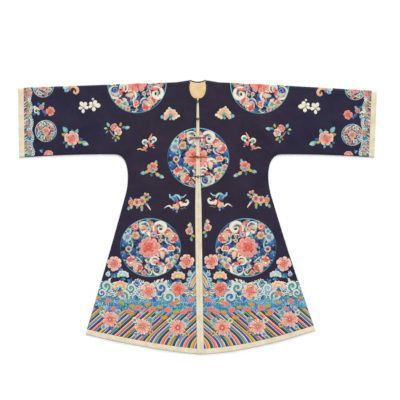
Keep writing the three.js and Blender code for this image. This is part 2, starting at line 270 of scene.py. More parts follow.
def setSockets(shader, values):
    for name, value in values.items():
        shader.inputs[name].default_value = value


def wire(tree, shader, feeds):
    for name, socket in feeds.items():
        tree.links.new(socket, shader.inputs[name])


def noiseOf(tree, coords, scale, detail, **more):
    links = {"Vector": coords, "Scale": scale, "Detail": detail, **more}
    return addNode(tree, "ShaderNodeTexNoise", links).outputs["Fac"]


def ribsOf(tree, coords, pitch, direction, **more):
    # Parallel ribs, their pitch in mm
    links = {"Vector": coords, "Scale": 1000 / pitch / math.tau, **more}
    return addNode(tree, "ShaderNodeTexWave", links, bands_direction=direction).outputs["Fac"]


def rangeOf(tree, value, fromMin, fromMax, toMin=0.0, toMax=1.0, **settings):
    links = {"Value": value, "From Min": fromMin, "From Max": fromMax, "To Min": toMin, "To Max": toMax}
    return addNode(tree, "ShaderNodeMapRange", links, **settings).outputs[0]


def blendOf(tree, share, first, second):
    # A blend of two colours, each a value or a socket
    node = addNode(tree, "ShaderNodeMix", {"Factor": share}, data_type="RGBA")
    for socket, value in ((node.inputs[6], first), (node.inputs[7], second)):
        if isinstance(value, bpy.types.NodeSocket):
            tree.links.new(value, socket)
        else:
            socket.default_value = value
    return node.outputs[2]


def bumpOf(tree, height, strength, distance, under=None):
    links = {"Height": height, "Strength": strength, "Distance": distance}
    if under:
        links["Normal"] = under
    return addNode(tree, "ShaderNodeBump", links).outputs["Normal"]


def objectCoords(tree):
    return addNode(tree, "ShaderNodeTexCoord").outputs["Object"]


satinLook = {
    "chest": hexColour("241c2f"),
    "sleeve": hexColour("1f1b34"),
    "worn": hexColour("362d43"),
    "sleeveFrom": (0.25, 0.62),  # m out from the middle, where the chest's tone passes into the sleeve's
    "clouds": 9.0,
    "wear": (0.42, 0.78, 0.0, 0.4),
    "gloss": (0.3, 0.7, 0.42, 0.58),
    "rib": 1.6,  # mm; the real warp is 0.1 mm, drawn coarser so that it shows
    "ribBump": (0.12, 0.0002),
    "creaseSize": 46,  # mm
    "creaseBump": (0.5, 0.005),
    "sockets": {"IOR": 1.5, "Specular IOR Level": 0.22, "Sheen Weight": 0.04, "Sheen Roughness": 0.35},
}


def makeSatin(look):
    # Silk satin, warp-faced and calendered: dark, with a soft broad gloss that runs along the warp.
    material, tree, shader = newMaterial("satinSilk")
    coords = objectCoords(tree)
    parts = addNode(tree, "ShaderNodeSeparateXYZ", {"Vector": coords})
    away = addNode(tree, "ShaderNodeMath", {0: parts.outputs["X"]}, operation="ABSOLUTE")
    share = rangeOf(tree, away.outputs[0], *look["sleeveFrom"], interpolation_type="SMOOTHSTEP")
    ground = blendOf(tree, share, look["chest"], look["sleeve"])
    cloudy = noiseOf(tree, coords, look["clouds"], 4.0, Roughness=0.6)
    worn = blendOf(tree, rangeOf(tree, cloudy, *look["wear"]), ground, look["worn"])
    ribs = bumpOf(tree, ribsOf(tree, coords, look["rib"], "X", Distortion=0.8), *look["ribBump"])
    crumple = noiseOf(tree, coords, 1000 / look["creaseSize"], 5.0, Distortion=0.8)
    normal = bumpOf(tree, crumple, *look["creaseBump"], ribs)
    wire(
        tree, shader,
        {"Base Color": worn, "Normal": normal, "Roughness": rangeOf(tree, cloudy, *look["gloss"])},
    )
    setSockets(shader, look["sockets"])
    return material


# Their ribs are in mm
creamLook = {
    "base": "ddd3b9",
    "stain": "cfc09c",
    "ribs": 1.1,
    "direction": "DIAGONAL",
    "weave": 0.3,
    "roughness": 0.6,
}
liningLook = {
    "base": "e0c692",
    "stain": "d2b077",
    "ribs": 3.2,
    "direction": "X",
    "weave": 0.6,
    "roughness": 0.5,
}


def makePlainSilk(name, look):
    # Plain-woven silk: fine cords across the strip, faint age stains, a dry low gloss.
    material, tree, shader = newMaterial(name)
    coords = objectCoords(tree)
    blotch = noiseOf(tree, coords, 26.0, 5.0, Roughness=0.62)
    share = rangeOf(tree, blotch, 0.4, 0.72)
    colour = blendOf(tree, share, hexColour(look["base"]), hexColour(look["stain"]))
    soft = bumpOf(tree, noiseOf(tree, coords, 70.0, 3.0, Distortion=0.5), 0.3, 0.002)
    weave = ribsOf(tree, coords, look["ribs"], look["direction"], Distortion=1.2, Detail=2.0)
    wire(tree, shader, {"Base Color": colour, "Normal": bumpOf(tree, weave, look["weave"], 0.0003, soft)})
    setSockets(shader, {"Roughness": look["roughness"], "IOR": 1.5, "Specular IOR Level": 0.35})
    setSockets(shader, {"Sheen Weight": 0.2, "Sheen Roughness": 0.4})
    return material


flossLook = {
    "threadPitch": 0.7,  # mm; the real floss lies 0.3 mm apart
    "tone": (0.3, 0.7, 0.78, 1.02),
    "bump": (0.16, 0.00014),
    "sockets": {"Roughness": 0.42, "IOR": 1.52, "Specular IOR Level": 0.4, "Sheen Weight": 0.1},
}


def makeFloss(look):
    # Untwisted silk floss laid in satin stitch: close parallel threads, glossy along each row.
    material, tree, shader = newMaterial("silkFloss")
    silk = addNode(tree, "ShaderNodeAttribute", attribute_name="silk").outputs["Color"]
    thread = addNode(tree, "ShaderNodeAttribute", attribute_name="thread").outputs["Fac"]
    spacing = {0: thread, 1: math.tau / look["threadPitch"]}
    turns = addNode(tree, "ShaderNodeMath", spacing, operation="MULTIPLY")
    wave = addNode(tree, "ShaderNodeMath", {0: turns.outputs[0]}, operation="SINE")
    along = {"W": thread, "Scale": 1 / look["threadPitch"], "Detail": 2.0}
    number = addNode(tree, "ShaderNodeTexNoise", along, noise_dimensions="1D")
    tone = rangeOf(tree, number.outputs["Fac"], *look["tone"])
    colour = addNode(tree, "ShaderNodeVectorMath", {0: silk, "Scale": tone}, operation="SCALE")
    normal = bumpOf(tree, wave.outputs[0], *look["bump"])
    wire(tree, shader, {"Base Color": colour.outputs[0], "Normal": normal})
    setSockets(shader, look["sockets"])
    return material


cordLook = {
    "shades": (hexColour("0e0c11"), hexColour("211d26")),
    "twist": 1.4,  # mm
    "sockets": {"Roughness": 0.6, "IOR": 1.5, "Sheen Weight": 0.15},
}


def makeCord(look):
    # Dark silk cord and binding, rolled and sewn: matt, with the twist just visible.
    material, tree, shader = newMaterial("darkSilkCord")
    coords = objectCoords(tree)
    twist = ribsOf(tree, coords, look["twist"], "DIAGONAL", Distortion=1.0)
    colour = blendOf(tree, noiseOf(tree, coords, 380.0, 3.0), *look["shades"])
    wire(tree, shader, {"Base Color": colour, "Normal": bumpOf(tree, twist, 0.4, 0.0003)})
    setSockets(shader, look["sockets"])
    return material


brassLook = {"shades": (hexColour("8d7a2e"), hexColour("d6c067")), "gloss": (0.0, 1.0, 0.5, 0.28)}


def makeBrass(look):
    # Cast brass, chased and then handled for years: warm yellow, darker in the hollows.
    material, tree, shader = newMaterial("handledBrass")
    tarnish = noiseOf(tree, objectCoords(tree), 420.0, 4.0, Roughness=0.6)
    colour = blendOf(tree, tarnish, *look["shades"])
    wire(tree, shader, {"Base Color": colour, "Normal": bumpOf(tree, tarnish, 0.2, 0.0002)})
    wire(tree, shader, {"Roughness": rangeOf(tree, tarnish, *look["gloss"])})
    setSockets(shader, {"Metallic": 1.0})
    return material


satin = makeSatin(satinLook)
creamSilk = makePlainSilk("creamSilk", creamLook)
liningSilk = makePlainSilk("strawLiningSilk", liningLook)
floss = makeFloss(flossLook)
darkCord = makeCord(cordLook)
brass = makeBrass(brassLook)
print("materials made")


# Cloth
def finishPiece(name, bm, material, crisp=None):
    bmesh.ops.transform(bm, matrix=toFrame, verts=bm.verts)
    mesh = bpy.data.meshes.new(name)
    bm.to_mesh(mesh)
    bm.free()
    mesh.materials.append(material)
    mesh.shade_smooth()
    if crisp:
        mesh.set_sharp_from_angle(angle=math.radians(crisp))
    piece = bpy.data.objects.new(name, mesh)
    scene.collection.objects.link(piece)
    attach(piece, "root")
    return piece


def solidCopy(node):
    bm = bmesh.new()
    bm.from_mesh(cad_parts[node].data)
    bmesh.ops.transform(bm, matrix=toPlan, verts=bm.verts)
    bmesh.ops.remove_doubles(bm, verts=bm.verts, dist=0.02)
    return bm


def takeHeights(bm):
    # Each point's rest height, once the fold heights below it are taken away, and how far it belongs
    # to the front layer; both are blended as the edges are divided.
    rest = bm.verts.layers.float.new("rest")
    front = bm.verts.layers.float.new("front")
    for v in bm.verts:
        under = heightIn(solidHeights, v.co.x, v.co.y)
        share = clamp((v.co.z - 2.05) / (under - 2.35), 0, 1)
        v[front] = share
        v[rest] = v.co.z - share * under
    return rest, front


def turnedEdges(bm, low, high):
    turn = {e: math.degrees(e.calc_face_angle(0)) for e in bm.edges}
    return [e for e in bm.edges if low < turn[e] < high]


def clothSkin(node, name, material, look):
    bm = solidCopy(node)
    flat = math.radians(40)
    bmesh.ops.join_triangles(bm, faces=bm.faces, angle_face_threshold=flat, angle_shape_threshold=2 * flat)
    bmesh.ops.bevel(
        bm,
        geom=turnedEdges(bm, *look["turn"]),
        offset=look["bevel"],
        segments=2,
        profile=0.5,
        affect="EDGES",
        material=-1,
        clamp_overlap=True,
    )
    rest, front = takeHeights(bm)
    bmesh.ops.subdivide_edges(bm, edges=bm.edges, cuts=look["cuts"], use_grid_fill=True)
    for _ in range(2):
        slack = [e for e in bm.edges if e.calc_length() > look["longest"]]
        bmesh.ops.subdivide_edges(bm, edges=slack, cuts=1, use_grid_fill=True)
    for v in bm.verts:
        x, y = v.co.x, v.co.y
        lift = v[front] * heightIn(frontHeights, x, y)
        seat = v[rest]
        if v[front] < 0.5 and seat < 1:
            seat = max(seat, (1 - v[front]) * heightIn(backHeights, x, y))
        v.co.z = seat + lift
    area = sum(f.calc_area() for f in bm.faces) / 2 * 1e-6
    print(name, len(bm.faces), "faces, cloth area", round(area, 3))
    piece = finishPiece(name, bm, material, look["crisp"])
    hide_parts(node)
    return piece


# turn is the range of angles that is rounded: the folded edges of the satin, and every edge of the edgings
satinCloth = {"turn": (44, 76), "bevel": 0.7, "cuts": 3, "longest": 15, "crisp": 38}
edgingCloth = {"turn": (44, 120), "bevel": 0.55, "cuts": 2, "longest": 12, "crisp": 50}
liningCloth = {"turn": (60, 120), "bevel": 0.3, "cuts": 1, "longest": 5, "crisp": 50}
for sideName in sides:
    for part in ("body", "sleeve"):
        node = part + "_" + sideName
        clothSkin(node, "satin_" + node, satin, satinCloth)
    for part in ("cuff_edging", "hem_edging", "front_edging"):
        node = part + "_" + sideName
        clothSkin(node, "cream_" + node, creamSilk, edgingCloth)
clothSkin("neck_lining", "straw_neck_lining", liningSilk, liningCloth)
print("cloth laid")


# Embroidery
silkShades = {
    "coral": "e87b69",
    "blush": "eb9c88",
    "palePink": "f2c4b0",
    "deepRed": "d8352b",
    "rose": "e2574c",
    "orange": "e89a55",
    "peach": "f3bd8c",
    "cream": "efe6cf",
    "white": "e9e4d2",
    "yellow": "d9b52a",
    "gold": "d99f1c",
    "goldBrown": "7a4f12",
    "leafGreen": "b9bb2c",
    "paleGreen": "c9d3ae",
    "teal": "3f9a96",
    "aqua": "8fcdd0",
    "lightBlue": "74b6d6",
    "blue": "2f6fb3",
    "royal": "2450a0",
    "navy": "16306e",
    "darkTeal": "17505c",
    "lavender": "8c98c4",
    "grey": "9d958f",
    "taupe": "6f655f",
    "paleGrey": "cfcac2",
    "ink": "1d1a2c",
}
silkTone = {name: hexColour(value) for name, value in silkShades.items()}

# Runs of thread colours, each from the foot or heart of a piece of work to its tip or rim
tealAqua = ("teal", "aqua")
deepBlue = ("navy", "royal", "blue")
deepTeal = ("darkTeal", "teal", "aqua")
limeLeaf = ("leafGreen", "yellow")
brightBlue = ("royal", "blue", "lightBlue")
orangePeach = ("orange", "peach")
roseCoral = ("rose", "coral")
tealSky = ("teal", "aqua", "lightBlue")
tealCream = ("teal", "aqua", "cream")
darkLeaf = ("darkTeal", "teal")
paleBlue = ("blue", "lightBlue")
paleLeaf = ("leafGreen", "paleGreen")
creamPeach = ("cream", "peach")
redPeony = ("deepRed", "coral", "palePink", "cream")
redTones = ("deepRed", "rose", "coral", "palePink")
coralTones = ("deepRed", "coral", "coral", "palePink")
pinkTones = ("rose", "coral", "blush", "cream")
orangeTones = ("coral", "orange", "peach", "cream")
whiteTones = ("teal", "paleGreen", "white", "cream")
blueGrey = ("lavender", "lavender", "aqua", "cream")

# mm of height, and shares: what the underside keeps of it, and how light a rim is left, darkened for the
# bare cloth between patches and for painted shade
relief = {"sunk": -0.12, "step": 0.12, "backShare": 0.36, "clear": 0.5, "voidAndShade": 0.58}


class Needlework:
    def __init__(self, seed):
        self.bm = bmesh.new()
        self.silk = self.bm.verts.layers.float_color.new("silk")
        self.thread = self.bm.verts.layers.float.new("thread")
        self.chance = random.Random(seed)


def spot(x, y, turn=0.0, size=1.0, mirror=False):
    flip = -1 if mirror else 1
    turned = Matrix.Rotation(math.radians(turn), 4, "Z")
    return Matrix.Translation((x, y, 0)) @ turned @ Matrix.Diagonal((size * flip, size, 1, 1))


def mixTone(a, b, t):
    return tuple(p + (q - p) * t for p, q in zip(a, b))


def shade(tones, t):
    if len(tones) == 1:
        return silkTone[tones[0]]
    step = clamp(t, 0, 1) * (len(tones) - 1)
    k = min(int(step), len(tones) - 2)
    return mixTone(silkTone[tones[k]], silkTone[tones[k + 1]], step - k)


def stitchPatch(work, place, form, across, along, level, bulge, voidAndShade=relief["voidAndShade"]):
    # A crowned patch of satin stitch. form gives x, y, nearness to the rim, colour and thread place. The
    # rim is darkened by the given share: partly the lines of bare cloth that part one petal from the next,
    # partly painted shade where one patch meets the next.
    made = bmesh.ops.create_grid(work.bm, x_segments=across, y_segments=along, size=1)["verts"]
    dye = 1 + work.chance.uniform(-0.08, 0.08)
    edge = max(level - relief["step"], relief["sunk"])
    for v in made:
        x, y, rim, colour, thread = form(v.co.x, v.co.y)
        v.co = place @ Vector((x, y, 0))
        v.co.z = edge if rim > 0.999 else level + bulge * math.sqrt(1 - rim * rim)
        # Painted shade at the rim, together with the bare cloth line between patches
        tint = dye * voidAndShade if rim > 0.999 else dye
        v[work.silk] = (colour[0] * tint, colour[1] * tint, colour[2] * tint, 1)
        v[work.thread] = thread


def petal(work, place, x, y, turn, length, width, tones, rim=None, level=0.2, bulge=0.45, foot=0.45):
    cells = 6 if length > 26 else 5 if length > 14 else 4 if length > 9 else 3 if length > 4 else 2

    def form(a, c):
        px = a * math.sqrt(1 - c * c / 2)
        py = c * math.sqrt(1 - a * a / 2)
        out = min(math.hypot(px, py), 1)
        t = (1 + py) / 2
        colour = shade(tones, t)
        if rim:
            colour = mixTone(colour, silkTone[rim], out**1.7 * min(1, 0.3 + t))
        taper = foot + (1 - foot) * min(1, 1.6 * t)
        return width / 2 * px * taper, length * t, out, colour, width / 2 * px

    stitchPatch(work, place @ spot(x, y, turn), form, cells, cells, level, bulge)


def dot(work, place, x, y, radius, tones, level=0.3, bulge=0.4, cells=3):
    def form(a, c):
        px = a * math.sqrt(1 - c * c / 2)
        py = c * math.sqrt(1 - a * a / 2)
        out = min(math.hypot(px, py), 1)
        return radius * px, radius * py, out, shade(tones, out), radius * px

    stitchPatch(work, place @ spot(x, y), form, cells, cells, level, bulge)


def leaf(work, place, x, y, turn, length, width, tones, bend=0.0, level=0.1, bulge=0.4):
    # Pointed, slanted stitches either side of the rib
    along = 4 if length > 8 else 3

    def form(a, c):
        t = (1 + c) / 2
        half = width / 2 * math.sin(math.pi * t) ** 0.75
        rim = 1 if abs(a) > 0.99 or abs(c) > 0.99 else abs(a)
        sway = bend * length * math.sin(math.pi * t)
        return sway + half * a, length * t, rim, shade(tones, t), length * t - abs(half * a)

    stitchPatch(work, place @ spot(x, y, turn), form, 2, along, level, bulge)


def smoothPath(points, cells):
    ends = [points[0], *points, points[-1]]
    path = []
    for k in range(cells + 1):
        s = k / cells * (len(points) - 1)
        i = min(int(s), len(points) - 2)
        t = s - i
        p = []
        for axis in (0, 1):
            a, b, c, d = (ends[i + n][axis] for n in range(4))
            bend = (2 * a - 5 * b + 4 * c - d) * t * t + (3 * b - a - 3 * c + d) * t**3
            p.append(b + 0.5 * ((c - a) * t + bend))
        path.append(p)
    return path


def strand(work, place, points, widths, tones, rim=None, level=0.2, bulge=0.4, cells=8, across=0):
    # A worked line: widths and tones are spread evenly from its start to its end. With across, the tones
    # lie side by side instead, from its left when that is 1 and from its right when that is -1.
    path = smoothPath(points, cells)
    reach = [0.0]
    for p, q in zip(path, path[1:]):
        reach.append(reach[-1] + math.dist(p, q))

    def form(a, c):
        k = round((c + 1) / 2 * cells)
        t = k / cells
        before, after = path[max(k - 1, 0)], path[min(k + 1, cells)]
        run = math.dist(before, after) or 1
        sideX, sideY = (before[1] - after[1]) / run, (after[0] - before[0]) / run
        step = t * (len(widths) - 1)
        i = min(int(step), len(widths) - 2)
        half = lerp(widths[i], widths[i + 1], step - i) / 2
        colour = shade(tones, (1 + across * a) / 2 if across else t)
        if rim and abs(a) > 0.9:
            colour = silkTone[rim]
        edge = a**4 if across else abs(a)
        return path[k][0] - sideX * half * a, path[k][1] - sideY * half * a, edge, colour, reach[k]

    # Rims of worked lines are darkened less, for bare cloth and painted shade; stripes side by side not at
    # all
    stitchPatch(work, place, form, 6 if across else 2, cells, level, bulge, 1 if across else 0.78)


def curl(x, y, fromRadius, toRadius, fromAngle, toAngle, count=9):
    points = []
    for k in range(count):
        t = k / (count - 1)
        r, angle = lerp(fromRadius, toRadius, t), math.radians(lerp(fromAngle, toAngle, t))
        points.append((x + r * math.cos(angle), y + r * math.sin(angle)))
    return points


# Flowers
def ringOfPetals(work, here, count, out, length, tones, rim, level, foot=0.62, close=7.6):
    # Uneven petals side by side, the more overlapped the greater close is
    width = close * (out + 0.55 * length) / count
    for k in range(count):
        angle = 360 * k / count + work.chance.uniform(-60, 60) / count
        grow = work.chance.uniform(0.82, 1.14)
        x, y = -out * math.sin(math.radians(angle)), out * math.cos(math.radians(angle))
        rise = level + 0.07 * (k % 2) + 0.03 * (k % 3)
        petal(work, here, x, y, angle, length * grow, width * grow, tones[k % 2 :], rim, rise, 0.45, foot)


def peony(work, place, x, y, radius, tones=coralTones, level=0.3, count=8):
    # Rings of round lobes over a deep heart
    here = place @ spot(x, y, work.chance.uniform(0, 360))
    deep, body, edge, rim = tones
    dot(work, here, 0, 0, 0.8 * radius, (deep, body, body), level - 0.1, 0.2, 5)
    for out, length, lobes, lift, petals, lip in (
        (0.5, 0.52, count, 0, (deep, body, edge), rim),
        (0.25, 0.46, max(count - 3, 4), 0.22, (deep, deep, body, edge), rim),
        (0.04, 0.34, 4, 0.44, (deep, deep, deep, body), edge),
    ):
        ringOfPetals(work, here, lobes, out * radius, length * radius, petals, lip, level + lift, 0.56, 6.7)
    for k in range(4):
        angle = math.radians(90 * k + 20)
        x1, y1 = 0.46 * radius * math.cos(angle), 0.46 * radius * math.sin(angle)
        dot(work, here, x1, y1, 0.08 * radius, (deep, deep), level + 0.8, cells=2)
    dot(work, here, 0, 0, 0.1 * radius, ("yellow", "orange"), level + 0.85, cells=2)


def bloom(work, place, x, y, radius, tones=coralTones, heart=("yellow", "orange"), petals=5, level=0.3):
    here = place @ spot(x, y, work.chance.uniform(0, 360))
    deep, body, edge, rim = tones
    dot(work, here, 0, 0, 0.72 * radius, (deep, body), level - 0.1, 0.2)
    ringOfPetals(work, here, petals, 0.3 * radius, 0.7 * radius, (deep, body, edge), rim, level)
    dot(work, here, 0, 0, 0.4 * radius, (heart[-1], heart[0], deep), level + 0.4)


def chrysanthemum(work, place, x, y, radius, tones=coralTones, level=0.35):
    here = place @ spot(x, y, work.chance.uniform(0, 360))
    deep, body, edge, rim = tones
    dot(work, here, 0, 0, 0.8 * radius, (deep, body), level - 0.1, 0.3, 4)
    for count, out, length, lift, petals, lip in (
        (15, 0.46, 0.54, 0, (deep, body, edge), rim),
        (11, 0.22, 0.5, 0.18, (deep, deep, body, edge), rim),
        (6, 0.06, 0.3, 0.36, (deep, deep, deep), edge),
    ):
        ringOfPetals(work, here, count, out * radius, length * radius, petals, lip, level + lift, close=6.3)
    dot(work, here, 0, 0, 0.12 * radius, ("cream", "yellow"), level + 0.7, cells=2)


def fanBloom(work, place, x, y, radius, turn, tones=orangeTones, heart=tealAqua, level=0.3):
    # Seen from the side: an open fan of petals over a green cup
    here = place @ spot(x, y, turn)
    deep, body, edge, rim = tones
    for k in range(7):
        angle = -99 + 33 * k
        shift = math.radians(angle)
        x1, y1 = -0.3 * radius * math.sin(shift), 0.16 * radius * math.cos(shift)
        length = radius * work.chance.uniform(0.66, 0.8)
        petal(
            work, here, x1, y1, angle, length, 0.56 * radius, (deep, body, edge), rim,
            level + 0.05 * (k % 2),
        )
    for k in range(5):
        angle = -72 + 36 * k
        petal(
            work, here, 0, -0.12 * radius, angle, 0.54 * radius, 0.3 * radius, (body, edge), rim,
            level + 0.2,
        )
    for k in range(4):
        angle = -66 + 44 * k
        petal(
            work, here, 0, -0.2 * radius, angle, 0.4 * radius, 0.26 * radius, heart, "cream", level + 0.35
        )


def spiralBloom(work, place, x, y, radius, tones=coralTones, turn=0.0, level=0.35):
    here = place @ spot(x, y, turn)
    deep, body, edge, rim = tones
    dot(work, here, 0, 0, 0.94 * radius, (deep, body), level - 0.15, 0.2, 4)
    turnOut = curl(0, 0, 0.12 * radius, 0.78 * radius, 0, 500, 14)
    widths = (0.2 * radius, 0.34 * radius, 0.4 * radius, 0.24 * radius)
    strand(work, here, turnOut, widths, (edge, rim, edge), rim, level, 0.3, cells=18)


def crescentBloom(work, place, x, y, radius, turn=0.0, level=0.3):
    # Seen aslant: pale lobes on one side, a deep red lip on the other, green and blue in the throat
    here = place @ spot(x, y, turn)
    dot(work, here, 0, 0, 0.8 * radius, ("deepRed", "rose", "coral"), level - 0.1, 0.2, 5)
    ringOfPetals(work, here, 6, 0.4 * radius, 0.62 * radius, ("rose", "coral", "blush"), "cream", level)
    for angle in (-78, -20, 36):
        petal(
            work, here, 0, 0, angle, 0.94 * radius, 0.9 * radius, ("rose", "deepRed", "deepRed"), "coral",
            level + 0.2,
        )
    for angle, tones in ((-170, limeLeaf), (-120, ("aqua", "teal")), (130, ("cream", "palePink"))):
        petal(work, here, 0, 0, angle, 0.7 * radius, 0.46 * radius, tones, "cream", level + 0.35, 0.3)
    dot(work, here, 0, 0, 0.26 * radius, ("aqua", "darkTeal"), level + 0.55, 0.2)


def ringBloom(work, place, x, y, radius, tones=orangePeach, heart=("navy", "blue"), level=0.3):
    here = place @ spot(x, y)
    hoop = curl(0, 0, 0.76 * radius, 0.78 * radius, 0, 374, 12)
    strand(work, here, hoop, (0.44 * radius, 0.44 * radius), tones, tones[-1], level, cells=12)
    dot(work, here, 0, 0, 0.46 * radius, heart, level)


def sprig(work, place, x, y, turn, size, tones, count=3, spread=46, level=0.15):
    # A few leaves from one point
    for k in range(count):
        off = k - (count - 1) / 2
        length = size * (1 - 0.14 * abs(off))
        leaf(
            work, place, x, y, turn + spread * off, length, 0.5 * length, tones[k % len(tones)], 0.12 * off,
            level,
        )


def foldButterfly(work, place):
    # Half a butterfly by the sleeve's fold: a blue wing to one side, an orange hooked one to the other
    petal(work, place, 2, 6, 96, 42, 22, tealSky, "cream", 0.3)
    petal(work, place, 2, 0, 118, 38, 22, brightBlue, "aqua", 0.4)
    petal(work, place, -8, -2, 150, 18, 12, ("aqua", "cream"), None, 0.45)
    hook = [(-2, -2), (12, 8), (31, 1), (38, -16), (28, -28), (17, -22), (20, -13)]
    strand(
        work, place, hook, (8, 13, 15, 14, 12, 9, 5), ("orange", "peach", "orange", "orange"), "peach", 0.5,
        0.35, 14,
    )
    petal(work, place, 0, -14, 10, 30, 11, ("coral", "rose", "orange"), "peach", 0.75)
    dot(work, place, 24, -12, 6, ("navy", "royal"), 0.4)


def scroll(work, place, x, y, radius, turn=0.0, tones=("cream", "white"), rim=None, level=0.35, swing=420):
    # A crest or wing that curls in on itself
    here = place @ spot(x, y, turn)
    line = curl(0, 0, radius * 0.86, radius * 0.2, 0, swing, 12)
    widths = (0.16 * radius, 0.36 * radius, 0.3 * radius, 0.22 * radius, 0.14 * radius)
    strand(work, here, line, widths, tones, rim, level, cells=16)


# Roundel: peony in the middle, butterflies above and below, flowers all round. Places and sizes are shares
# of the radius: kind, x, y, size, turn, tones
roundelFlowers = [
    ("spiral", -0.50, 0.71, 0.15, 40, coralTones),
    ("bloom", -0.75, 0.36, 0.17, 0, blueGrey),
    ("bloom", -0.72, 0.56, 0.12, 0, ("teal", "aqua", "aqua", "cream")),
    ("bloom", -0.49, 0.41, 0.15, 0, ("coral", "orange", "peach", "peach")),
    ("ring", -0.71, -0.05, 0.115, 0, None),
    ("lip", -0.62, -0.46, 0.18, 30, None),
    ("lip", -0.40, -0.68, 0.18, -100, None),
    ("bloom", -0.21, -0.86, 0.10, 0, coralTones),
    ("lip", 0.56, 0.52, 0.17, 40, None),
    ("lip", 0.75, 0.33, 0.19, -120, None),
    ("bloom", 0.33, 0.24, 0.08, 0, orangeTones),
    ("bloom", 0.34, 0.38, 0.06, 0, orangeTones),
    ("spiral", 0.65, -0.02, 0.12, 200, coralTones),
    ("bloom", 0.68, -0.41, 0.15, 0, ("grey", "paleGreen", "aqua", "paleGrey")),
    ("bloom", 0.86, -0.31, 0.10, 0, pinkTones),
    ("bloom", 0.62, -0.62, 0.14, 0, pinkTones),
    ("bloom", 0.80, -0.54, 0.11, 0, ("leafGreen", "leafGreen", "yellow", "paleGreen")),
]
roundelLeaves = [
    (-0.29, 0.42, 20, 0.28, ("navy", "royal", "lightBlue")),
    (-0.24, 0.30, -60, 0.24, ("navy", "blue", "aqua")),
    (-0.36, 0.24, 60, 0.22, deepBlue),
    (-0.88, 0.20, -80, 0.28, ("royal", "blue", "aqua")),
    (-0.84, 0.08, -40, 0.26, deepBlue),
    (-0.62, 0.14, 10, 0.24, deepTeal),
    (-0.54, -0.14, 30, 0.28, deepBlue),
    (-0.46, -0.24, -50, 0.24, brightBlue),
    (-0.60, -0.22, 80, 0.24, deepBlue),
    (-0.86, -0.26, 20, 0.26, brightBlue),
    (-0.78, -0.34, 100, 0.22, deepBlue),
    (-0.40, -0.40, 40, 0.22, deepTeal),
    (-0.22, -0.40, 80, 0.26, ("navy", "royal", "teal")),
    (-0.14, -0.36, -60, 0.24, deepTeal),
    (0.46, 0.10, -80, 0.28, deepBlue),
    (0.56, 0.14, 30, 0.24, brightBlue),
    (0.40, 0.04, 140, 0.20, deepTeal),
    (0.90, 0.12, 10, 0.28, ("navy", "blue", "lightBlue")),
    (0.82, 0.10, -20, 0.26, deepBlue),
    (0.62, 0.76, -30, 0.26, ("navy", "blue", "lightBlue")),
    (0.76, 0.62, 20, 0.24, ("royal", "blue", "aqua")),
    (0.56, -0.22, -70, 0.26, deepBlue),
    (0.60, -0.30, 20, 0.22, brightBlue),
    (-0.70, -0.62, 140, 0.20, deepTeal),
    (-0.56, -0.56, 60, 0.20, tealCream),
    (-0.48, -0.58, 20, 0.17, ("leafGreen", "leafGreen", "paleGreen")),
    (0.70, 0.52, 30, 0.17, ("leafGreen", "leafGreen", "yellow")),
    (0.60, 0.42, -30, 0.17, tealSky),
    (0.78, -0.70, 150, 0.20, ("leafGreen", "yellow", "leafGreen")),
    (-0.02, 0.90, 80, 0.20, deepTeal),
    (0.10, -0.92, -80, 0.20, deepTeal),
]


def line(work, place, r, points, width, tones, rim=None, level=0.4, cells=8):
    # A worked line given in shares of a roundel's radius
    placed = [(x * r, y * r) for x, y in points]
    strand(work, place, placed, tuple(w * r for w in width), tones, rim, level, cells=cells)


def eyeSpot(work, place, r, x, y, size, tones, hoopTones, level):
    dot(work, place, x * r, y * r, size * r, tones, level, cells=4)
    hoop = curl(x, y, size, 1.02 * size, 0, 374, 11)
    line(work, place, r, hoop, (0.04, 0.04), hoopTones, None, level + 0.1, 12)
    dot(work, place, x * r, y * r, 0.42 * size * r, ("navy", "royal"), level + 0.25, cells=2)


def sew(work, place, rows, r=1):
    # Rows of work: how each is stitched, its place and shape in shares of r, then its look
    for stitch, *values in rows:
        if stitch in (petal, leaf):
            x, y, turn, length, width, *look = values
            stitch(work, place, x * r, y * r, turn, length * r, width * r, *look)
        elif stitch in (line, eyeSpot):
            stitch(work, place, r, *values)
        else:
            x, y, radius, *look = values
            stitch(work, place, x * r, y * r, radius * r, *look)


def petalRows(level, rows):
    return [(petal, *row, None, level) for row in rows]


def leafRows(grow, fat, bend, rows):
    # Leaves whose length and width both go with one size
    return [
        (leaf, x, y, turn, grow * size, fat * size, tones, bend, 0.15)
        for x, y, turn, size, tones in rows
    ]


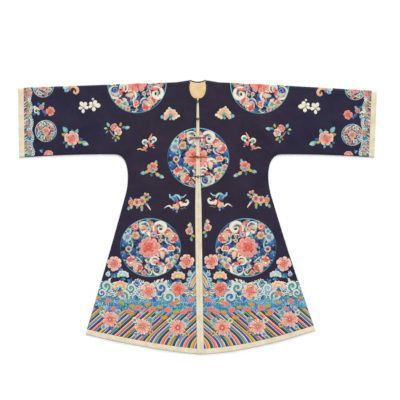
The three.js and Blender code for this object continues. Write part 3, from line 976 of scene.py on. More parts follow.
lift = 0.55  # mm, the butterflies' height over the flowers
upperButterfly = [
    (dot, 0.35, 0.63, 0.17, ("ink", "navy", "ink"), 0.3, 0.1, 4),
    (
        line, curl(0.35, 0.61, 0.15, 0.7 * 0.15, 200, -40, 9), (0.02, 0.04, 0.02), ("teal", "paleGreen"),
        None, lift, 10,
    ),
    (
        line, curl(0.35, 0.61, 0.09, 0.7 * 0.09, 200, -40, 9), (0.02, 0.04, 0.02), ("aqua", "cream"), None,
        lift, 10,
    ),
    (
        line,
        curl(0.33, 0.66, 0.245, 0.05, 205, -235, 18),
        (0.05, 0.1, 0.15, 0.14, 0.1, 0.06, 0.03),
        ("white", "cream", "white", "paleGreen"),
        "cream",
        lift + 0.3,
        26,
    ),
    (
        line,
        [(0.02, 0.84), (0.15, 0.72), (0.17, 0.55), (0.22, 0.44)],
        (0.05, 0.09, 0.07, 0.03),
        ("coral", "rose"),
        "palePink",
        lift + 0.2,
    ),
    (line, [(0.10, 0.84), (0.22, 0.66), (0.28, 0.50)], (0.03, 0.05, 0.03), roseCoral, None, lift + 0.35),
    (
        line,
        curl(-0.21, 0.72, 0.17, 0.13, -10, 215, 9),
        (0.03, 0.07, 0.05),
        ("cream", "paleGreen", "aqua"),
        "cream",
        lift,
        10,
    ),
    (dot, -0.17, 0.82, 0.08, ("navy", "blue", "aqua"), lift),
    (petal, -0.06, 0.68, 84, 0.32, 0.17, ("coral", "orange", "peach"), "cream", lift),
    (petal, -0.10, 0.60, 120, 0.22, 0.11, ("blush", "cream"), "cream", lift + 0.1),
    (dot, -0.02, 0.84, 0.07, ("rose", "orange"), lift),
    (petal, 0.00, 0.36, 24, 0.26, 0.15, ("cream", "white", "aqua"), "cream", lift),
    (petal, 0.02, 0.62, -20, 0.20, 0.12, ("blue", "aqua", "palePink"), "coral", lift),
    (eyeSpot, -0.06, 0.62, 0.09, ("blue", "aqua", "cream"), ("orange", "coral"), lift + 0.15),
    (eyeSpot, 0.11, 0.45, 0.1, ("royal", "lightBlue", "palePink"), ("coral", "rose"), lift + 0.2),
    (line, [(0.20, 0.42), (0.36, 0.46), (0.48, 0.44)], (0.03, 0.045, 0.02), creamPeach, None, lift),
]
lowerButterfly = [
    (petal, 0.40, -0.40, 4, 0.32, 0.19, ("aqua", "palePink", "white"), "paleGreen", lift),
    (
        line,
        curl(0.43, -0.20, 0.20, 0.13, 215, -10, 9),
        (0.05, 0.08, 0.06),
        ("white", "cream", "aqua"),
        "cream",
        lift + 0.1,
        12,
    ),
    (petal, 0.30, -0.45, 96, 0.30, 0.17, ("blush", "palePink", "aqua"), "paleGreen", lift),
    (
        line, curl(0.14, -0.46, 0.15, 0.12, 20, 290, 9), (0.05, 0.08, 0.05), ("cream", "white"), None,
        lift + 0.1, 12,
    ),
    (dot, 0.30, -0.72, 0.17, ("aqua", "paleGreen", "lightBlue"), lift - 0.05, 0.4, 5),
    (
        line,
        curl(0.28, -0.73, 0.22, 0.19, 62, -205, 14),
        (0.04, 0.09, 0.1, 0.07, 0.03),
        ("cream", "white", "paleGreen"),
        None,
        lift + 0.1,
        18,
    ),
    (dot, 0.21, -0.74, 0.13, ("navy", "royal", "navy", "blue"), lift + 0.2, 0.4, 5),
    (
        line, curl(0.21, -0.74, 0.08, 0.05, 0, 330, 8), (0.035, 0.02), ("lightBlue", "cream"), None,
        lift + 0.4,
    ),
    *[
        (petal, x, y, turn, length, 0.07, tones, None, lift + 0.3, 0.45, 0.8)
        for x, y, turn, length, tones in (
            (0.33, -0.34, 20, 0.26, roseCoral),
            (0.46, -0.24, -60, 0.14, roseCoral),
            (0.45, -0.16, 40, 0.10, ("coral", "rose")),
            (0.28, -0.42, 170, 0.16, ("deepRed", "coral")),
            (0.18, -0.62, -62, 0.26, ("coral", "rose")),
            (0.08, -0.50, -80, 0.15, roseCoral),
            (0.38, -0.66, -60, 0.12, roseCoral),
            (0.40, -0.84, 10, 0.08, roseCoral),
        )
    ],
    (
        line,
        [(0.46, -0.12), *curl(0.66, -0.03, 0.14, 0.11, 200, 420, 8)[4:]],
        (0.03, 0.05, 0.04),
        creamPeach,
        None,
        lift,
    ),
    (
        line, curl(0.87, -0.10, 0.10, 0.09, 170, -50, 8), (0.03, 0.05, 0.03), ("orange", "peach", "cream"),
        None, lift,
    ),
    (petal, 0.50, -0.50, -30, 0.18, 0.13, orangePeach, "cream", lift),
]
# A small orange butterfly, bent stems and white scrolls at the foot
roundelStems = [
    *[(petal, -0.07, -0.54, turn, 0.18, 0.08, orangePeach, "cream", 0.45) for turn in (35, -35, 150)],
    (dot, -0.07, -0.54, 0.06, paleBlue, 0.6),
    *[
        (line, points, (0.03, 0.045, 0.02), tones)
        for points, tones in (
            ([(-0.45, -0.32), (-0.36, -0.40), (-0.26, -0.52)], creamPeach),
            ([(0.50, 0.32), (0.50, 0.20), (0.62, 0.12), (0.70, 0.10)], creamPeach),
            ([(-0.60, 0.20), (-0.58, 0.06), (-0.62, -0.02)], ("paleGreen", "aqua")),
            ([(-0.70, -0.14), (-0.64, -0.26), (-0.60, -0.34)], ("orange", "paleGreen")),
            ([(-0.20, -0.66), (-0.06, -0.74), (0.06, -0.72)], ("peach", "cream")),
            ([(-0.32, 0.62), (-0.26, 0.52), (-0.12, 0.44)], ("cream", "paleGreen")),
        )
    ],
    (scroll, -0.02, -0.84, 0.11, 200, ("white", "palePink"), None, 0.4),
    (scroll, -0.38, 0.84, 0.09, 20, ("aqua", "cream"), None, 0.4),
]


def scatter(chance, tries, inner, outer, gap):
    # Places in a ring, none nearer to another than the gap
    found = []
    for _ in range(tries):
        out, angle = math.sqrt(lerp(inner**2, outer**2, chance.random())), chance.uniform(0, math.tau)
        x, y = out * math.cos(angle), out * math.sin(angle)
        if all((x - px) ** 2 + (y - py) ** 2 > gap**2 for px, py in found):
            found.append((x, y))
    return found


def keepInside(work, first, place, r):
    # Work that reaches over the outline is drawn back to it
    work.bm.verts.ensure_lookup_table()
    back = place.inverted()
    for v in work.bm.verts[first:]:
        flat = back @ Vector((v.co.x, v.co.y, 0))
        out = math.hypot(flat.x, flat.y)
        if out > r:
            held = place @ (flat * (r / out))
            v.co.x, v.co.y = held.x, held.y


roundGrounds = (
    deepBlue,
    brightBlue,
    ("navy", "royal"),
    deepTeal,
    ("teal", "aqua", "teal"),
    darkLeaf,
    ("blue", "teal", "aqua"),
    ("teal", "lightBlue", "teal"),
)


def roundel(work, place, r, seed):
    chance = random.Random(seed)
    grown = 0.93 * r
    first = len(work.bm.verts)
    for x, y in scatter(chance, 2400, 0, 0.96, 0.078):
        tones = chance.choice(roundGrounds)
        turn, bend = chance.uniform(0, 360), chance.choice((-0.24, 0.24))
        length, rise = chance.uniform(0.15, 0.22) * r, chance.uniform(0, 0.16)
        here = place @ spot(x * r, y * r, turn)
        leaf(work, here, 0, -0.5 * length, 0, length, 0.082 * r, tones, bend, rise, 0.14)
    for x, y, turn, length, tones in roundelLeaves:
        here = place @ spot(x * r, y * r, turn)
        leaf(work, here, 0, -0.4 * length * r, 0, length * r, 0.48 * length * r, tones, 0.15, 0.2)
    for kind, x, y, size, turn, tones in roundelFlowers:
        if kind == "spiral":
            spiralBloom(work, place, x * r, y * r, size * grown, tones, turn)
        elif kind == "lip":
            crescentBloom(work, place, x * r, y * r, size * grown, turn)
        elif kind == "ring":
            ringBloom(work, place, x * r, y * r, size * grown)
        else:
            bloom(work, place, x * r, y * r, size * grown, tones, tealAqua, 6)
    peony(work, place, -0.06 * r, 0.0, 0.37 * r, coralTones, 0.35, 9)
    for rows in (upperButterfly, lowerButterfly, roundelStems):
        sew(work, place, rows, r)
    keepInside(work, first, place, 0.985 * r)
    hoop = curl(0, 0, 0.985, 0.989, 0, 363, 41)
    around = (
        "teal", "blue", "lightBlue", "aqua", "teal", "darkTeal", "blue", "aqua", "teal", "blue", "teal"
    )
    line(work, place, r, hoop, (0.03, 0.022, 0.03), around, None, 0.2, 64)


def smallRoundel(work, place, r, seed):
    chance = random.Random(seed)
    first = len(work.bm.verts)
    grounds = (
        *roundGrounds, ("coral", "palePink"), ("peach", "cream"), ("paleGreen", "white"), ("white", "cream")
    )
    for x, y in scatter(chance, 900, 0.2, 0.92, 0.115):
        turn = chance.uniform(0, 360)
        leaf(
            work, place @ spot(x * r, y * r, turn), 0, -0.16 * r, 0, 0.32 * r, 0.17 * r,
            chance.choice(grounds), 0.16, 0.05, 0.2,
        )
    rings = (redTones, orangeTones, whiteTones, coralTones, blueGrey, whiteTones, redTones, orangeTones)
    for k, tones in enumerate(rings):
        angle = math.radians(45 * k + 20)
        x, y = 0.66 * r * math.cos(angle), 0.66 * r * math.sin(angle)
        bloom(work, place, x, y, 0.22 * r, tones, ("teal", "navy"), 5)
    peony(work, place, 0, 0, 0.38 * r, pinkTones, 0.4, 7)
    line(
        work, place, r, curl(0.35, 0.3, 0.34, 0.3, 100, -20, 8), (0.08, 0.14, 0.06),
        ("cream", "peach", "white"), None, 0.5,
    )
    keepInside(work, first, place, 0.95 * r)
    around = ("aqua", "lightBlue", "cream", "aqua", "palePink", "teal", "aqua")
    line(work, place, r, curl(0, 0, 0.965, 0.972, 0, 366, 25), (0.07, 0.07), around, None, 0.3, 32)


# Sprays between the roundels
peonyLeaves = [
    (-24, 24, 30, 34, tealSky),
    (-26, 10, 62, 24, limeLeaf),
    (2, 24, 0, 20, darkLeaf),
    (16, 22, -30, 26, tealAqua),
    (30, -4, -84, 24, ("royal", "blue")),
    (28, -14, -104, 22, limeLeaf),
    (50, -12, -118, 34, tealCream),
    (-16, -24, 152, 22, deepTeal),
    (6, -28, 196, 18, tealAqua),
    (-26, -14, 122, 18, darkLeaf),
]
peonySpray = [
    *leafRows(1.25, 0.72, 0.08, peonyLeaves),
    (peony, 0, 0, 38, redPeony, 0.35, 7),
]


def whitePair(work, place):
    # Two loose cream blossoms, each a cluster of round lobes with the cloth showing between
    pale = (("paleGreen", "white", "cream"), ("paleGrey", "cream", "cream"), ("taupe", "white", "cream"))
    lobes = (
        (-47, 12, 11),
        (-27, 10, 11),
        (-53, -11, 9),
        (-20, -9, 10),
        (-38, -29, 9),
        (2, 12, 10),
        (23, 18, 12),
        (39, 2, 13),
        (17, -17, 11),
        (-4, -5, 8),
    )
    for k, (x, y, size) in enumerate(lobes):
        heartX, heartY = (-36, -9) if x < -10 else (14, 2)
        turn = math.degrees(math.atan2(heartX - x, y - heartY))
        length = math.hypot(x - heartX, y - heartY) + size
        petal(
            work, place, heartX, heartY, turn, length, 2 * size, pale[k % 3], None, 0.3 + 0.06 * (k % 2),
            foot=0.3,
        )
    for x, y, size, tones in (
        (-36, -12, 6, ("taupe", "grey")), (13, 0, 5, ("taupe", "leafGreen")), (12, 35, 6, ("aqua", "cream"))
    ):
        dot(work, place, x, y, size, tones, 0.5)


redPairLeaves = [
    (-30, 8, 28, 22, tealSky),
    (-38, 0, 84, 16, paleLeaf),
    (-34, -8, 140, 16, paleBlue),
    (-12, -12, 160, 16, ("darkTeal", "blue")),
    (24, 12, -18, 18, limeLeaf),
    (32, 4, -64, 16, paleBlue),
    (44, 6, -84, 26, tealCream),
    (-6, -26, 200, 16, tealAqua),
    (8, -36, 222, 20, limeLeaf),
    (2, -48, 188, 16, tealAqua),
]
redPair = [
    *leafRows(1.25, 0.72, 0.06, redPairLeaves),
    (line, [(-28, -6), (-18, -24), (-8, -36)], (2, 4, 3), ("orange", "yellow", "leafGreen"), None, 0.2),
    (petal, -8, -42, 150, 12, 10, ("deepRed", "rose"), "coral", 0.3),
    (bloom, -5, 8, 20, redTones, ("aqua", "teal"), 6),
    (bloom, 15, -13, 21, ("rose", "coral", "palePink", "cream"), ("aqua", "navy"), 6, 0.5),
]


def fanSpray(work, place):
    leaves = [
        (-30, -14, 80, 24, 20, ("blue", "lightBlue", "aqua")),
        (-22, -6, 60, 18, 14, tealAqua),
        (-6, 20, 8, 20, 15, tealCream),
        (30, -2, -110, 18, 15, ("paleGreen", "white", "cream")),
    ]
    sew(work, place, petalRows(0.2, leaves))
    fan = (orangePeach, ("coral", "orange"), orangePeach, ("coral", "orange"), ("yellow", "peach"))
    for k in range(7):
        angle = math.radians(-108 + 36 * k)
        x, y = -9 * math.sin(angle), 8 * math.cos(angle) - 3
        petal(work, place, x, y, -108 + 36 * k, 28, 23, fan[k % 5], "cream", 0.3 + 0.08 * (k % 2), 0.4, 0.6)
    lips = [
        (petal, -16, -8, 128, 26, 20, ("coral", "orange", "peach"), "cream", 0.5),
        (petal, 10, -8, -160, 20, 18, ("yellow", "peach", "cream"), "cream", 0.5),
    ]
    cup = [(petal, 2, -10, turn, 19, 13, deepTeal, "aqua", 0.62) for turn in (-60, 0, 60, 160)]
    sew(work, place, lips + cup)


def bat(work, place):
    # A small butterfly in flight: two scrolled wings, a body of many patches and a long tail
    for x, y, size, turn, swing in ((-24, -2, 20, 0, 310), (24, 12, 20, 180, -310)):
        dot(work, place, x, y, 0.62 * size, deepTeal, 0.25, 0.2, 4)
        wingLine = curl(0, 0, 0.8 * size, 0.3 * size, 0, swing, 11)
        widths = (0.2 * size, 0.5 * size, 0.44 * size, 0.26 * size, 0.12 * size)
        strand(
            work, place @ spot(x, y, turn), wingLine, widths, ("white", "cream", "aqua"), None, 0.45,
            cells=14,
        )
    body = [
        (4, -26, -10, 24, 18, ("orange", "coral", "peach")),
        (-10, -28, 30, 20, 14, ("blush", "cream")),
        (-12, -10, 30, 18, 12, ("teal", "lightBlue")),
        (12, -10, -30, 20, 13, ("aqua", "white")),
        (0, -14, 10, 24, 15, ("deepRed", "coral", "palePink")),
        (0, 4, 0, 18, 12, ("rose", "palePink")),
        (-12, -34, 70, 22, 13, ("coral", "orange")),
        (-8, -42, 110, 15, 9, darkLeaf),
        (12, -20, -70, 14, 9, ("rose", "deepRed")),
        (16, -26, -110, 12, 6, ("lightBlue", "paleGrey")),
    ]
    tail = [(-18, -36), (-34, -39), (-48, -34), (-64, -38)]
    ends = [
        (line, tail, (11, 9, 7, 2), ("coral", "orange", "peach", "cream"), None, 0.5),
        (line, [(0, 16), (6, 28), (14, 44)], (6, 8, 2), ("coral", "peach"), None, 0.4),
    ]
    sew(work, place, petalRows(0.75, body) + ends)


# In flight, seen aslant: a blue hooked wing above, a white one to the side, a peach body and a tail
hookBody = [
    (0, -6, 176, 36, 26, ("coral", "peach", "orange")),
    (-8, -30, 130, 22, 12, ("teal", "blue")),
    (0, -40, 170, 16, 12, paleBlue),
    (-2, -12, 120, 24, 17, orangePeach),
    (10, 4, 150, 26, 18, ("deepRed", "rose", "palePink")),
    (14, -6, -150, 22, 14, ("white", "palePink")),
    (22, 0, -120, 14, 10, ("coral", "deepRed")),
    (14, 14, -40, 18, 9, tealAqua),
]
hookLines = {
    "blue": [(-39, 40), (-34, 24), (-20, 24), (-8, 34), (8, 30), (17, 12)],
    "hollow": [(-22, 22), (-10, 20), (-6, 8), (-18, -2)],
    "white": [(12, -2), (30, -12), (48, -13), (57, 0), (50, 10), (42, 4)],
    "tail": [(-14, -28), (-28, -30), (-40, -20), (-54, -24), (-67, -33)],
}
hookButterfly = [
    (petal, 6, 2, 52, 40, 26, brightBlue, "aqua", 0.3),
    (
        line, hookLines["blue"], (6, 12, 9, 10, 12, 6), ("aqua", "lightBlue", "aqua", "white"), None, 0.45,
        12,
    ),
    (line, hookLines["hollow"], (5, 9, 9, 4), deepBlue, None, 0.6, 8),
    (line, hookLines["white"], (16, 19, 14, 10, 8, 4), ("white", "cream", "white", "aqua"), None, 0.5, 12),
    *petalRows(0.75, hookBody),
    (line, hookLines["tail"], (6, 9, 8, 6, 2), ("peach", "cream", "paleGrey"), None, 0.4, 10),
    (line, [(18, 22), (32, 25), (46, 38)], (3, 7, 2), ("coral", "aqua", "cream"), None, 0.4),
    (line, [(14, -30), (26, -37), (36, -30), (48, -34)], (2, 4, 3, 2), ("taupe", "grey"), None, 0.2),
]

# Two pink blossoms side by side, with a red bud above and another flower behind
twinLeaves = [
    (12, 12, -30, 22, ("teal", "lightBlue")),
    (38, 18, -70, 20, ("lightBlue", "aqua")),
    (30, 18, -130, 18, limeLeaf),
    (26, -8, -120, 20, paleBlue),
    (10, -16, 185, 24, limeLeaf),
    (-6, -18, 150, 20, tealAqua),
    (12, -32, 175, 18, ("lightBlue", "aqua")),
    (-40, -16, 170, 22, paleLeaf),
    (-52, -24, 160, 22, tealAqua),
    (-44, 4, 20, 18, ("teal", "lightBlue")),
]
twinSpray = [
    *leafRows(1.1, 0.72, 0.06, twinLeaves),
    (line, [(34, -14), (44, -26), (56, -44)], (4, 9, 3), ("aqua", "palePink", "cream"), None, 0.3),
    (line, [(16, 10), (26, 22), (32, 32)], (3, 4, 3), ("teal", "leafGreen"), None, 0.2),
    *[
        (petal, 32, 28, turn, 19, 14, ("deepRed", "coral", "palePink"), "palePink", 0.4)
        for turn in (20, -50)
    ],
    (bloom, -44, -6, 16, redTones, ("yellow", "leafGreen"), 6),
    (bloom, -14, -4, 21, pinkTones, ("taupe", "grey"), 6, 0.4),
    (bloom, 12, 2, 22, pinkTones, ("taupe", "grey"), 6, 0.55),
]

pinkLeaves = [
    (-32, -24, 96, 26, tealSky),
    (-16, -16, 106, 22, limeLeaf),
    (14, -22, -126, 26, paleLeaf),
    (32, -34, -118, 26, tealCream),
    (10, 18, -24, 22, tealAqua),
    (-4, -20, 176, 20, darkLeaf),
]
pinkSpray = [
    *leafRows(1.2, 0.75, 0.06, pinkLeaves),
    (peony, 0, 4, 28, coralTones, 0.35, 6),
    *[(petal, 2, -12, turn, 15, 10, deepTeal, "aqua", 1.2) for turn in (-70, -10, 50, 120)],
]

budLeaves = [
    (-24, -16, 130, 20, tealAqua),
    (-12, -12, 170, 18, limeLeaf),
    (4, 0, -60, 20, ("teal", "lightBlue")),
    (20, 12, -40, 18, paleLeaf),
]
budSpray = [
    (line, [(-30, -20), (-6, -8), (22, 16)], (3, 4, 2), ("teal", "leafGreen"), None, 0.15),
    *leafRows(1.25, 0.72, 0.08, budLeaves),
    (bloom, -4, 6, 21, pinkTones, ("teal", "yellow"), 6),
    (petal, 14, 12, -30, 20, 15, ("rose", "palePink"), "cream", 0.5),
]

cuffWings = [
    (4, 12, 30, 24, 16, deepBlue),
    (14, 14, -30, 22, 15, ("teal", "lightBlue")),
    (12, -4, -130, 32, 17, ("royal", "blue", "royal")),
    (-8, 2, 70, 26, 20, ("lightBlue", "cream")),
    (-14, -18, 120, 24, 16, ("navy", "blue")),
    (-2, -10, 170, 22, 15, tealAqua),
]
cuffButterfly = [
    *petalRows(0.3, cuffWings),
    (ringBloom, 12, 10, 14, ("orange", "coral"), tealAqua, 0.6),
    (scroll, -14, -12, 17, 30, ("cream", "white"), None, 0.6),
    (petal, 4, -6, 60, 26, 12, ("white", "aqua"), "cream", 0.8),
]

print("needle ready")


# Hem border. Its parts are drawn on one half, with u out from the opening; x = sign * u + lean.
border = {
    "bandPitch": 19.7,
    "bandLevel": 75,
    "bandSlope": 1.14,
    "cycle": "blue gold teal coral blue grey teal gold blue coral teal grey".split(),
    "rock": "teal cream lightBlue blue cream orange yellow coral cream aqua royal".split()
    + "cream teal yellow coral blue".split(),
}
# Rows of waves and of clouds, in mm: where the first row lies on the plan, the drop to the next, where a row
# begins and its pitch, how far it runs past the side seam, how far each piece strays, its turn and size
waves = {
    "rows": 6,
    "count": 20,
    "top": -1058,
    "drop": 17,
    "from": 30,
    "pitch": 40,
    "past": 10,
    "strayU": (-4, 4),
    "strayY": (-3, 3),
    "turn": (-28, 28),
    "size": (24, 30),
    "level": 0.04,
    "rise": 0.1,
    "tones": (
        ("teal", "white", "cream"),
        ("teal", "cream", "lightBlue", "white"),
        ("blue", "white", "aqua", "cream"),
        ("darkTeal", "cream", "aqua", "cream"),
        ("blue", "cream", "white", "teal"),
    ),
}
clouds = {
    "rows": 6,
    "count": 20,
    "top": -1122,
    "drop": 15.5,
    "from": 22,
    "pitch": 31,
    "past": 8,
    "strayU": (-3, 3),
    "strayY": (-2, 2),
    "turn": (-14, 14),
    "size": (30, 36),
    "level": 0.66,
    "sink": 0.06,
    "tones": (
        ("lightBlue", "blue", "darkTeal"),
        ("aqua", "teal", "darkTeal"),
        ("lavender", "blue", "teal"),
        ("lightBlue", "lightBlue", "royal"),
        ("aqua", "lightBlue", "darkTeal"),
    ),
}
# Breaking waves: u, y, radius, turn and fingers
crests = [
    (48, -990, 13, 20, 2),
    (54, -1020, 14, -10, 1),
    (46, -1046, 18, 0, 1),
    (196, -1060, 32, 0, 3),
    (160, -1042, 14, 30, 2),
    (228, -1044, 14, 10, 2),
    (318, -1038, 17, 0, 4),
    (292, -1042, 14, 20, 2),
    (352, -1062, 24, 20, 2),
    (392, -1100, 32, 50, 0),
    (478, -1052, 30, 10, 1),
    (502, -1086, 22, -20, 1),
    (470, -990, 12, 0, 2),
    (160, -1108, 32, 40, 1),
    (120, -1124, 20, 0, 1),
    (226, -1110, 18, 20, 1),
    (430, -1062, 15, 0, 2),
    (334, -1108, 18, 30, 1),
]
# Lucky shapes: u, y, size and kind
luckyShapes = [
    (470, -1128, 22, "coral"),
    (520, -1112, 20, "gold"),
    (406, -1090, 24, "coral"),
    (404, -1136, 22, "gold"),
    (444, -1166, 18, "coral"),
    (350, -1154, 24, "gold"),
    (366, -1182, 20, "coral"),
    (318, -1164, 26, "coral"),
    (268, -1146, 24, "gold"),
    (246, -1172, 26, "coral"),
    (204, -1162, 22, "gold"),
    (168, -1174, 22, "coral"),
    (134, -1142, 24, "coral"),
    (112, -1128, 24, "gold"),
    (122, -1186, 26, "gold"),
    (84, -1186, 24, "coral"),
    (56, -1172, 24, "coral"),
    (44, -1124, 24, "coral"),
    (184, -1214, 28, "gold"),
    (352, -1196, 24, "gold"),
    (300, -1190, 20, "ring"),
    (220, -1186, 20, "ring"),
    (490, -1160, 20, "ring"),
    (384, -1118, 18, "ring"),
    (140, -1206, 18, "ring"),
]
# Leaves on the sea: u, y, turn and size
seaSprigs = [
    (438, -985, 150, 30),
    (420, -1000, 60, 26),
    (346, -1032, 60, 28),
    (330, -1036, -60, 22),
    (314, -1114, 90, 28),
    (204, -1100, 20, 28),
    (112, -964, -20, 30),
    (92, -964, 60, 30),
    (138, -1036, 80, 28),
    (46, -1076, 10, 24),
    (70, -1000, 60, 20),
]
# Flowers: kind, u, y, radius and threads
hemFlowers = [
    ("peony", 436, -936, 38, redPeony),
    ("peony", 64, -924, 38, ("deepRed", "rose", "palePink", "cream")),
    ("fan", 393, -992, 31, ("teal", "aqua", "white", "white")),
    ("fan", 107, -1000, 35, orangeTones),
    ("fan", 408, -1048, 35, orangeTones),
    ("peony", 262, -1078, 43, redPeony),
    ("peony", 108, -1066, 37, redTones),
    ("mum", 462, -1222, 42, ("deepRed", "coral", "blush", "cream")),
    ("mum", 296, -1259, 42, redPeony),
    ("ringed", 114, -1265, 44, pinkTones),
]
bandTones = {
    "blue": ("cream", "royal", "navy"),
    "gold": ("peach", "gold", "goldBrown"),
    "teal": ("aqua", "darkTeal", "ink"),
    "coral": ("palePink", "coral", "deepRed"),
    "grey": ("cream", "grey", "taupe"),
}


def planSpot(side, u, y, turn=0.0, size=1.0):
    # A place on the half, with the right half mirrored from the left one
    return spot(side["sign"] * u + leanAt(y), y, -side["sign"] * turn, size, side["sign"] > 0)


def cloudFoot(u):
    return -1192 - 14 * math.sin(u / 62 + 0.6) - 8 * math.sin(u / 23 + 1) + 44 * (u / 590) ** 2


def smoothShare(t):
    t = clamp(t, 0, 1)
    return t * t * (3 - 2 * t)


def bandU(k, h):
    # How far out line k of the stripes lies at a height above the hem. It starts steep and leans over.
    steep = lerp(0.12 + 0.032 * min(k, 12), border["bandSlope"], smoothShare((k - 11.5) / 5))
    t = min(h / border["bandLevel"], 1)
    leaning = border["bandLevel"] * (t**3 - t**4 / 2) + max(h - border["bandLevel"], 0)
    return border["bandPitch"] * k + 14 - steep * h - (border["bandSlope"] - steep) * leaning


def stripes(work, side, count):
    for k in range(-3, count):
        hem = hemY(side, bandU(max(k + 0.5, 0), 0)) + plan["hemEdging"]
        placed, widths = [], []
        for step in range(22):
            h = 11 * step
            u = bandU(k + 0.5, h)
            y = hem - 3 + h
            if y > cloudFoot(u) + 30 or u < 2:
                break
            rise = (bandU(k + 0.5, h + 1) - u) ** 2
            placed.append((side["sign"] * u + leanAt(y), y))
            widths.append(1.05 * (bandU(k + 1, h) - bandU(k, h)) / math.sqrt(1 + rise))
        if len(placed) > 2:
            light, body, deep = bandTones[border["cycle"][k % 12]]
            tones, cells = (light, light, *[body] * 5, deep, deep), 2 * len(placed) - 2
            strand(work, Matrix(), placed, widths, tones, None, 0.15, 0.35, cells, -side["sign"])


def waveArcs(work, side, u, y, radius, tones, turn, level):
    # A rounded wave: white lines over a coloured ground
    here = planSpot(side, u, y, turn)
    ground, *lines = tones
    dot(work, here, 0, 0.1 * radius, 1.08 * radius, (ground, ground), level, 0.03, 5)
    for k, tone in enumerate(lines):
        r = radius * (1 - 0.34 * k)
        arc = curl(0, 0, r, r, 2, 178, 9)
        strand(
            work, here, arc, (0.12 * radius, 0.24 * radius, 0.12 * radius), (tone, tone), None,
            level + 0.06, 0.1, 8,
        )


def crest(work, side, u, y, radius, turn=0.0, fingers=3, ground="teal"):
    # A breaking wave: a scroll with foam fingers over its back
    here = planSpot(side, u, y, turn)
    dot(work, here, 0, 0, 1.04 * radius, (ground, ground), 0.7, 0.05, 6)
    turnIn = curl(0, 0, radius, 0.16 * radius, -80, 400, 20)
    widths = (0.2 * radius, 0.42 * radius, 0.36 * radius, 0.28 * radius, 0.14 * radius)
    strand(work, here, turnIn, widths, ("white", "cream", "white"), None, 0.82, 0.2, cells=24)
    inner = (0.03 * radius, 0.1 * radius, 0.08 * radius, 0.05 * radius)
    strand(work, here, turnIn, inner, ("teal", "lightBlue", "teal"), None, 1.0, 0.1, cells=24)
    for k in range(fingers):
        angle = math.radians(50 + 36 * k)
        x, top = radius * math.cos(angle), radius * math.sin(angle)
        finger = [(x, top), (x * 1.16, top + 0.3 * radius), (x * 1.02 + 0.34 * radius, top + 0.42 * radius)]
        strand(
            work, here, finger, (0.42 * radius, 0.34 * radius, 0.12 * radius), ("white", "cream"), None,
            0.78, 0.2, cells=5,
        )


def cloudHead(work, side, u, y, size, tones, turn, level):
    # A cloud: three lobes, pale in the middle and dark at the rim, with a curl worked in each end
    here = planSpot(side, u, y, turn)
    for x, y1, r in ((-0.4, 0.0, 0.3), (0.4, 0.02, 0.3), (0.0, 0.14, 0.34)):
        dot(work, here, x * size, y1 * size, r * size, tones, level + 0.2 * y1, 0.1, 4)
    for flip in (-1, 1):
        turnIn = curl(0, 0, 0.22 * size, 0.06 * size, 90 - 150 * flip, 90 + 190 * flip, 9)
        placed = [(flip * 0.4 * size + x, y1) for x, y1 in turnIn]
        ends = (0.05 * size, 0.1 * size, 0.05 * size)
        strand(work, here, placed, ends, (tones[-1], "teal"), None, level + 0.12, 0.1, cells=9)


def luckyShape(work, side, u, y, size, kind):
    here = planSpot(side, u, y, 10)
    if kind == "coral":
        tones = ("rose", "coral", "blush")
        for x, y1 in ((-0.36, 0), (0.4, 0.06)):
            dot(work, here, x * size, y1 * size, 0.46 * size, tones, 0.9, 0.2, cells=4)
        dot(work, here, 0, 0.1 * size, 0.5 * size, coralTones, 1.05, 0.2, cells=4)
    elif kind == "gold":
        tones = ("goldBrown", "gold", "yellow")
        for x, y1, share in ((-0.34, 0.06, 0.3), (0.34, 0, 0.32), (0, 0.04, 0.42)):
            dot(work, here, x * size, y1 * size, share * size, tones, 0.9 + share / 4, 0.2)
    else:
        ringBloom(work, here, 0, 0, 0.6 * size, tealAqua, ("coral", "cream"), 0.9)


def rock(work, side):
    # Half of the rock at the opening: bright bands that climb to the middle
    inset = 0
    for k, tone in enumerate(border["rock"]):
        reach = 50 - 0.3 * inset
        top = -946 - 1.3 * inset
        points = [(4, top), (16, top - 20), (14 + 0.55 * reach, top - 52), (12 + reach, top - 104)]
        placed = [(side["sign"] * u + leanAt(y), y) for u, y in points if y > -1100]
        if len(placed) > 1:
            width = 3.4 if tone == "cream" else 7.5
            strand(
                work, Matrix(), placed, (width, width, width), (tone, tone), None, 0.75 + 0.02 * k, 0.1,
                cells=9,
            )
        inset += 2.6 if tone == "cream" else 6.2


def rowOf(chance, look, row):
    # The places along a row, every other row half a pitch on
    for k in range(look["count"]):
        yield look["from"] + look["pitch"] * (k + 0.5 * (row % 2)) + chance.uniform(*look["strayU"])


